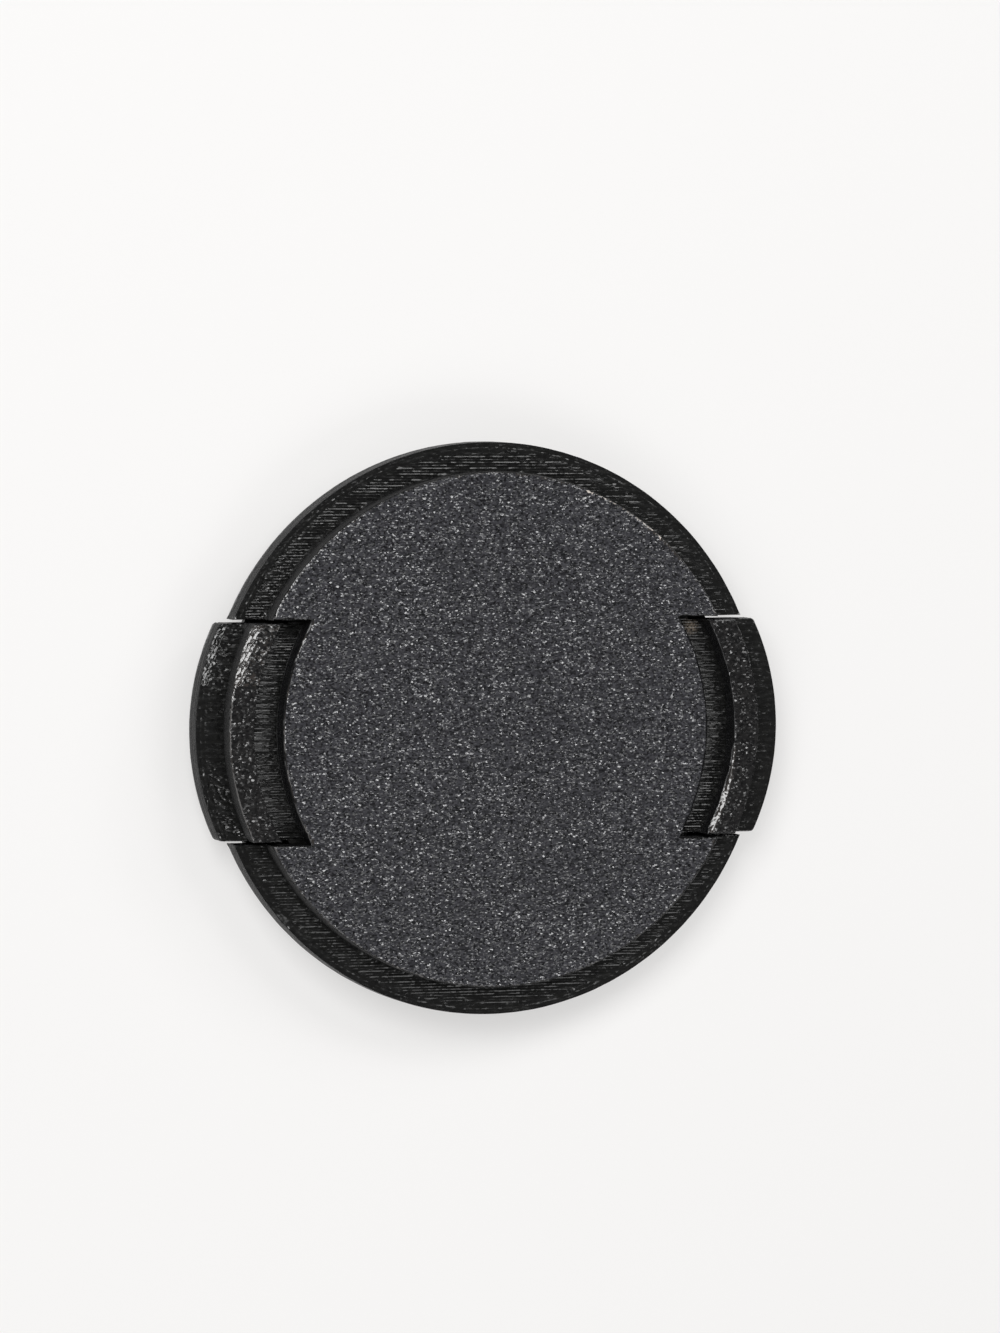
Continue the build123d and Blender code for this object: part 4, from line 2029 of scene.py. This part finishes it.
@dataclass(kw_only=True)
class RearPlate(PrintedPiece):
    """Plain disc that closes the boss, pebbled on the side that lay on the build plate."""

    radius: float
    lead_in: float = 0.3
    lead_in_rows: int = 4
    row_start: float = 0.08
    row_step: float = 0.0834
    row_end: float = 0.03
    hole_radius: float = 1.05
    hole_sides: int = 24
    rim_sides: int = 320
    grain_scale: float = 1.15
    rim_gap: float = 0.25

    def shape(self) -> None:
        """Add two levels, a chamfered rim with layers and four bored holes."""
        thickness, skin, centres = self.plate_thickness, self.skin, self.post_centres()
        rim = circle(self.radius, self.rim_sides)
        holes = [circle(self.hole_radius, self.hole_sides, centre) for centre in centres]
        steps = [self.grain_scale * step for step in self.marks.grain_step]
        points = lattice((self.radius, self.radius), steps, True)
        keep = from_axis(points) < self.radius - self.lead_in - self.rim_gap
        for centre in centres:
            keep &= from_axis(points - centre) > self.hole_radius + WIDE_GAP
        skin.level(0.0, rim, points[keep], holes, self.rear_relief, Surface.PLATE)
        skin.level(thickness, rim, holes=holes)
        chamfer = np.linspace(0, self.lead_in, self.lead_in_rows)
        rows = np.arange(self.lead_in + self.row_start, thickness - self.row_end, self.row_step)
        skin.wall(rim, [*chamfer, *rows, thickness], depth=self.rim_depth, wraps=True)
        for hole in holes:
            skin.wall(hole, (0.0, thickness), wraps=True)

    def rear_relief(self, points: Array) -> Array:
        """Height of the rear face's pebbles, which go into it."""
        return -self.marks.grain(points, Pattern.REAR_GRAIN)

    def rim_depth(self, along: Array, height: Array) -> Array:
        """How far the rim stands out: its chamfer, and the grooves between layers above that."""
        groove = self.marks.layer_bulge * (1 - bead(height, self.marks.layer))
        return -np.where(height > self.lead_in, groove, self.lead_in - height)


@dataclass(kw_only=True)
class ReturnSpring(CapPiece):
    """Compression spring of round wire with a closed coil at each end."""

    coil_radius: float = 1.5
    wire: float = 0.4
    turns: float = 7.0
    closed_turns: float = 0.9
    eased_turns: float = 0.4
    sides: int = 12
    steps_per_turn: int = 30
    travel: float = 2.2

    @property
    def length(self) -> float:
        """Length of the spring at rest, from the abutment to the tab."""
        return self.tab_inner_end - self.abutment_face

    def centre_line(self, turn: Array) -> Array:
        """X along the coil.

        Formula: the pitch is one wire thickness in the end coils and even between them, eased where it
        changes.

        Args:
            turn: Turns from the coil's start.

        Returns:
            X in mm.
        """
        share = fade(turn - self.closed_turns, self.eased_turns)
        share = ease(share * fade(self.turns - self.closed_turns - turn, self.eased_turns))
        spare = self.length - self.wire - self.wire * self.turns
        open_rise = np.concatenate([[0.0], np.cumsum(share[1:])])
        return self.abutment_face + self.wire / 2 + self.wire * turn + spare * open_rise / open_rise[-1]

    def build(self, materials: Materials) -> bpy.types.Object:
        """Make the spring's mesh.

        Formula: a ring of wire is carried along a coil about the X axis, and each end is closed by a fan.

        Args:
            materials: The wire's material.

        Returns:
            The object, at the origin.
        """
        count, sides = int(self.turns * self.steps_per_turn) + 1, self.sides
        turn = np.linspace(0, self.turns, count)
        radial = np.column_stack([np.zeros(count), unit(2 * math.pi * turn)])
        middle = np.column_stack([self.centre_line(turn), np.zeros(count), np.full(count, self.spring_level)])
        middle = middle + self.coil_radius * radial
        tangent = np.gradient(middle, axis=0)
        tangent /= np.linalg.norm(tangent, axis=1, keepdims=True)
        out, beside = (part[:, None, :] for part in (radial, np.cross(tangent, radial)))
        around = circle(self.wire / 2, sides)[None, :, :, None]
        points = middle[:, None, :] + around[:, :, 0] * out + around[:, :, 1] * beside
        first, last = np.arange(count - 1) * sides, np.arange(1, count) * sides
        seam = split_quads(np.column_stack([first + sides - 1, last + sides - 1, last, first]))
        fan = np.column_stack([np.zeros(sides - 2, int), np.arange(1, sides - 1), np.arange(2, sides)])
        tube = grid_triangles(count, sides, False)
        triangles = np.concatenate([tube, seam, fan, fan + (count - 1) * sides])
        surface = np.zeros(len(triangles), int)
        return mesh_object(self.name, points.reshape(-1, 3), triangles, surface, materials, self.turned)


# Studio


def place_in_scene(name: str, data: bpy.types.ID, axes: Array, place: Array) -> bpy.types.Object:
    """Put a light or a camera in the scene.

    Args:
        name: Name of the object.
        data: The light or camera.
        axes: Its own axes as the columns of a matrix.
        place: Where it is in metres.

    Returns:
        The object.
    """
    item = bpy.data.objects.new(name, data)
    matrix = np.eye(4)
    matrix[:3, :3] = axes
    matrix[:3, 3] = place
    item.matrix_world = Matrix(matrix.tolist())
    bpy.context.scene.collection.objects.link(item)
    return item


def axis_turn(axis: int, angle: float) -> Array:
    """Matrix of a turn about one axis.

    Args:
        axis: 0 for X, 1 for Y and 2 for Z.
        angle: Angle in degrees.

    Returns:
        The matrix, shape (3, 3).
    """
    first, second = (axis + 1) % 3, (axis + 2) % 3
    matrix = np.eye(3)
    matrix[first, first] = matrix[second, second] = math.cos(math.radians(angle))
    matrix[second, first] = math.sin(math.radians(angle))
    matrix[first, second] = -matrix[second, first]
    return matrix


@dataclass(frozen=True)
class SoftLight:
    """An even rectangle of light that faces the cap, in degrees and metres."""

    name: str
    azimuth: float
    elevation: float
    distance: float
    size: tuple[float, float]
    radiance: float

    def hang(self) -> None:
        """Hang the light. A rectangle of area A and radiance L gives pi times L times A watts."""
        azimuth, elevation = math.radians(self.azimuth), math.radians(self.elevation)
        level = math.cos(elevation)
        back = np.array([level * math.cos(azimuth), level * math.sin(azimuth), math.sin(elevation)])
        right = np.array([-math.sin(azimuth), math.cos(azimuth), 0.0])
        data = bpy.data.lights.new(self.name, "AREA")
        data.shape = "RECTANGLE"
        data.size, data.size_y = self.size
        data.energy = math.pi * self.radiance * self.size[0] * self.size[1]
        axes = np.column_stack([right, np.cross(back, right), back])
        lamp = place_in_scene(self.name, data, axes, back * self.distance)
        lamp.visible_camera = False


@dataclass(frozen=True)
class Studio:
    """Pale floor, a soft box at the upper left, smaller lights all round and the photograph's camera.

    The view was fitted to the photograph: its scale in pixels per millimetre at the front face, the camera's
    distance in millimetres, its turns in degrees and the pixel at which the middle of the face lies.
    """

    image_scale: float = 10.6686
    distance: float = 613.8
    yaw: float = -16.41
    pitch: float = 2.46
    roll: float = -0.03
    centre_px: tuple[float, float] = (497.33, 729.92)
    face_level: float = 8.0
    sensor: float = 36.0
    clip: tuple[float, float] = (0.01, 20.0)
    floor_half: float = 3.0
    floor_colour: str = "#f2f1f0"
    floor_white: str = "#f4f3f2"
    floor_white_share: float = 0.55
    world_colour: str = "#ffffff"
    world_strength: float = 0.1
    lights: tuple[SoftLight, ...] = (
        SoftLight("soft_box", 137.0, 58.0, 0.55, (0.28, 0.225), 9.0),
        SoftLight("upper_strip", 65.0, 48.0, 0.50, (0.26, 0.14), 5.0),
        SoftLight("lower_card", 292.0, 46.0, 0.50, (0.40, 0.20), 2.2),
        SoftLight("left_card", 201.0, 52.0, 0.50, (0.30, 0.25), 1.2),
        SoftLight("lower_left_card", 240.0, 40.0, 0.50, (0.35, 0.20), 1.1),
        SoftLight("upper_right_card", 37.0, 35.0, 0.50, (0.30, 0.10), 4.5),
    )

    def camera(self) -> None:
        """Place the camera by the fitted view: yaw, pitch and roll about the middle of the front face."""
        axes = axis_turn(2, self.roll) @ axis_turn(0, self.pitch) @ axis_turn(1, -self.yaw)
        shift_x = (self.centre_px[0] - IMAGE_SIZE[0] / 2) / self.image_scale
        shift_y = (self.centre_px[1] - IMAGE_SIZE[1] / 2) / self.image_scale
        place = axes.T @ np.array([-shift_x, shift_y, self.distance]) + (0, 0, self.face_level)
        data = bpy.data.cameras.new("photo_camera")
        data.sensor_fit = "AUTO"
        data.sensor_width = self.sensor
        data.lens = self.image_scale * self.distance / max(IMAGE_SIZE) * self.sensor
        data.clip_start, data.clip_end = self.clip
        bpy.context.scene.camera = place_in_scene("photo_camera", data, axes.T, place * MM)

    def floor(self) -> None:
        """Lay the pale floor, which keeps the cap's shadow and reads as white paper to the camera."""
        material, tree = blank_material("white_paper_floor")
        rays = add_node(tree, "LightPath").outputs
        either = {0: rays["Is Camera Ray"], 1: rays["Is Glossy Ray"]}
        seen = add_node(tree, "Math", either, operation="MAXIMUM")
        share = add_node(tree, "Math", {0: seen, 1: self.floor_white_share}, operation="MULTIPLY")
        matt = add_node(tree, "BsdfDiffuse", {"Color": linear(self.floor_colour)})
        white = add_node(tree, "Emission", {"Color": linear(self.floor_white), "Strength": 1.0})
        mix = add_node(tree, "MixShader", {0: share, 1: matt, 2: white})
        add_node(tree, "OutputMaterial", {"Surface": mix})
        half = self.floor_half
        mesh = bpy.data.meshes.new("paper_floor")
        corners = [(x, y, 0.0) for x, y in box_outline((-half, -half), (half, half)).tolist()]
        mesh.from_pydata(corners, [], [(0, 1, 2, 3)])
        mesh.materials.append(material)
        floor = bpy.data.objects.new("paper_floor", mesh)
        bpy.context.scene.collection.objects.link(floor)
        floor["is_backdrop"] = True

    def world(self) -> None:
        """Set a dim even world."""
        world = bpy.data.worlds.new("dim_studio")
        world.use_nodes = True
        tree = world.node_tree
        tree.nodes.clear()
        light = {"Color": linear(self.world_colour), "Strength": self.world_strength}
        add_node(tree, "OutputWorld", {"Surface": add_node(tree, "Background", light)})
        bpy.context.scene.world = world

    def set_up(self) -> None:
        """Make the whole studio."""
        self.camera()
        self.floor()
        self.world()
        for light in self.lights:
            light.hang()
        bpy.context.scene.view_settings.view_transform = "Standard"


# The whole cap


def release_tabs(marks: PrintMarks) -> dict[str, ReleaseTab]:
    """Describe both tabs with their own wear. The right crest is rubbed inside, the left tab scored outside.

    Args:
        marks: The printer's marks.

    Returns:
        The tab of each side.
    """
    reach = {
        side: max(abs(corner.x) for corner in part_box(f"{side}_release_tab")) / MM
        for side in ("right", "left")
    }
    inner_wear = CrestWear(
        edge=CrestEdge.INNER, depth=0.20, width=0.42, start=-4.4, trace=-1.9, trace_share=0.75, roughness=0.2,
        lip=0.2,
    )
    outer_wear = CrestWear(
        edge=CrestEdge.OUTER, depth=0.08, width=0.85, start=-4.2, trace=12.0, trace_share=0.22, roughness=0.8,
        power=1.1,
    )
    hatch = EdgeHatch(
        start=-4.4, width=0.8, pitch=0.33, slope=0.43, lean=149.0, middle=(26.5, -7.3), reach=4.5
    )
    crest_hatch = replace(hatch, width=0.95, slope=0.3, middle=(24.5, -7.3))
    right = ReleaseTab(
        name="printed_right_release_tab", marks=marks, reach=reach["right"], seed=100, wear=inner_wear,
        specks=0.3,
    )
    left = ReleaseTab(
        name="printed_left_release_tab", marks=marks, reach=reach["left"], seed=200, wear=outer_wear,
        turned=True, hatch=hatch, crest_hatch=crest_hatch, crown=0.1,
    )
    return {"right": right, "left": left}


def place_piece(piece: bpy.types.Object, body: str, node: str) -> None:
    """Let a piece ride on its body in place of a CAD node.

    Args:
        piece: The piece.
        body: Body that it moves with.
        node: CAD node that it stands for.
    """
    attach(piece, body)
    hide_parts(node)
    LOG.info("%s rides on %s in place of %s", piece.name, body, node)


def main() -> None:
    """Build the cap's pieces round the frame, then the studio."""
    logging.basicConfig(level=logging.INFO, format="%(name)s: %(message)s")
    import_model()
    cad_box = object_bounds()
    marks = PrintMarks(plate_level=cad_box[1].z / MM)
    print_looks = black_print()
    steel_looks = [SpringSteelFinish().material()]

    cover = FrontCover(name="printed_front_cover", marks=marks, cap_radius=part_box("front_cover")[1].y / MM)
    place_piece(cover.build(print_looks), "cap", "front_cover")

    plate_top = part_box("rear_plate")[1]
    plate = RearPlate(
        name="printed_rear_plate", marks=marks, radius=plate_top.y / MM, plate_thickness=plate_top.z / MM
    )
    place_piece(plate.build(print_looks), "cap", "rear_plate")

    for side, tab in release_tabs(marks).items():
        place_piece(tab.build(print_looks), f"{side}_tab", f"{side}_release_tab")
        spring = ReturnSpring(name=f"wound_{side}_return_spring", turned=tab.turned)
        coil = spring.build(steel_looks)
        place_piece(coil, "cap", f"{side}_return_spring")
        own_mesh(coil)

    Studio().set_up()
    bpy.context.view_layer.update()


if __name__ == "__main__":
    main()
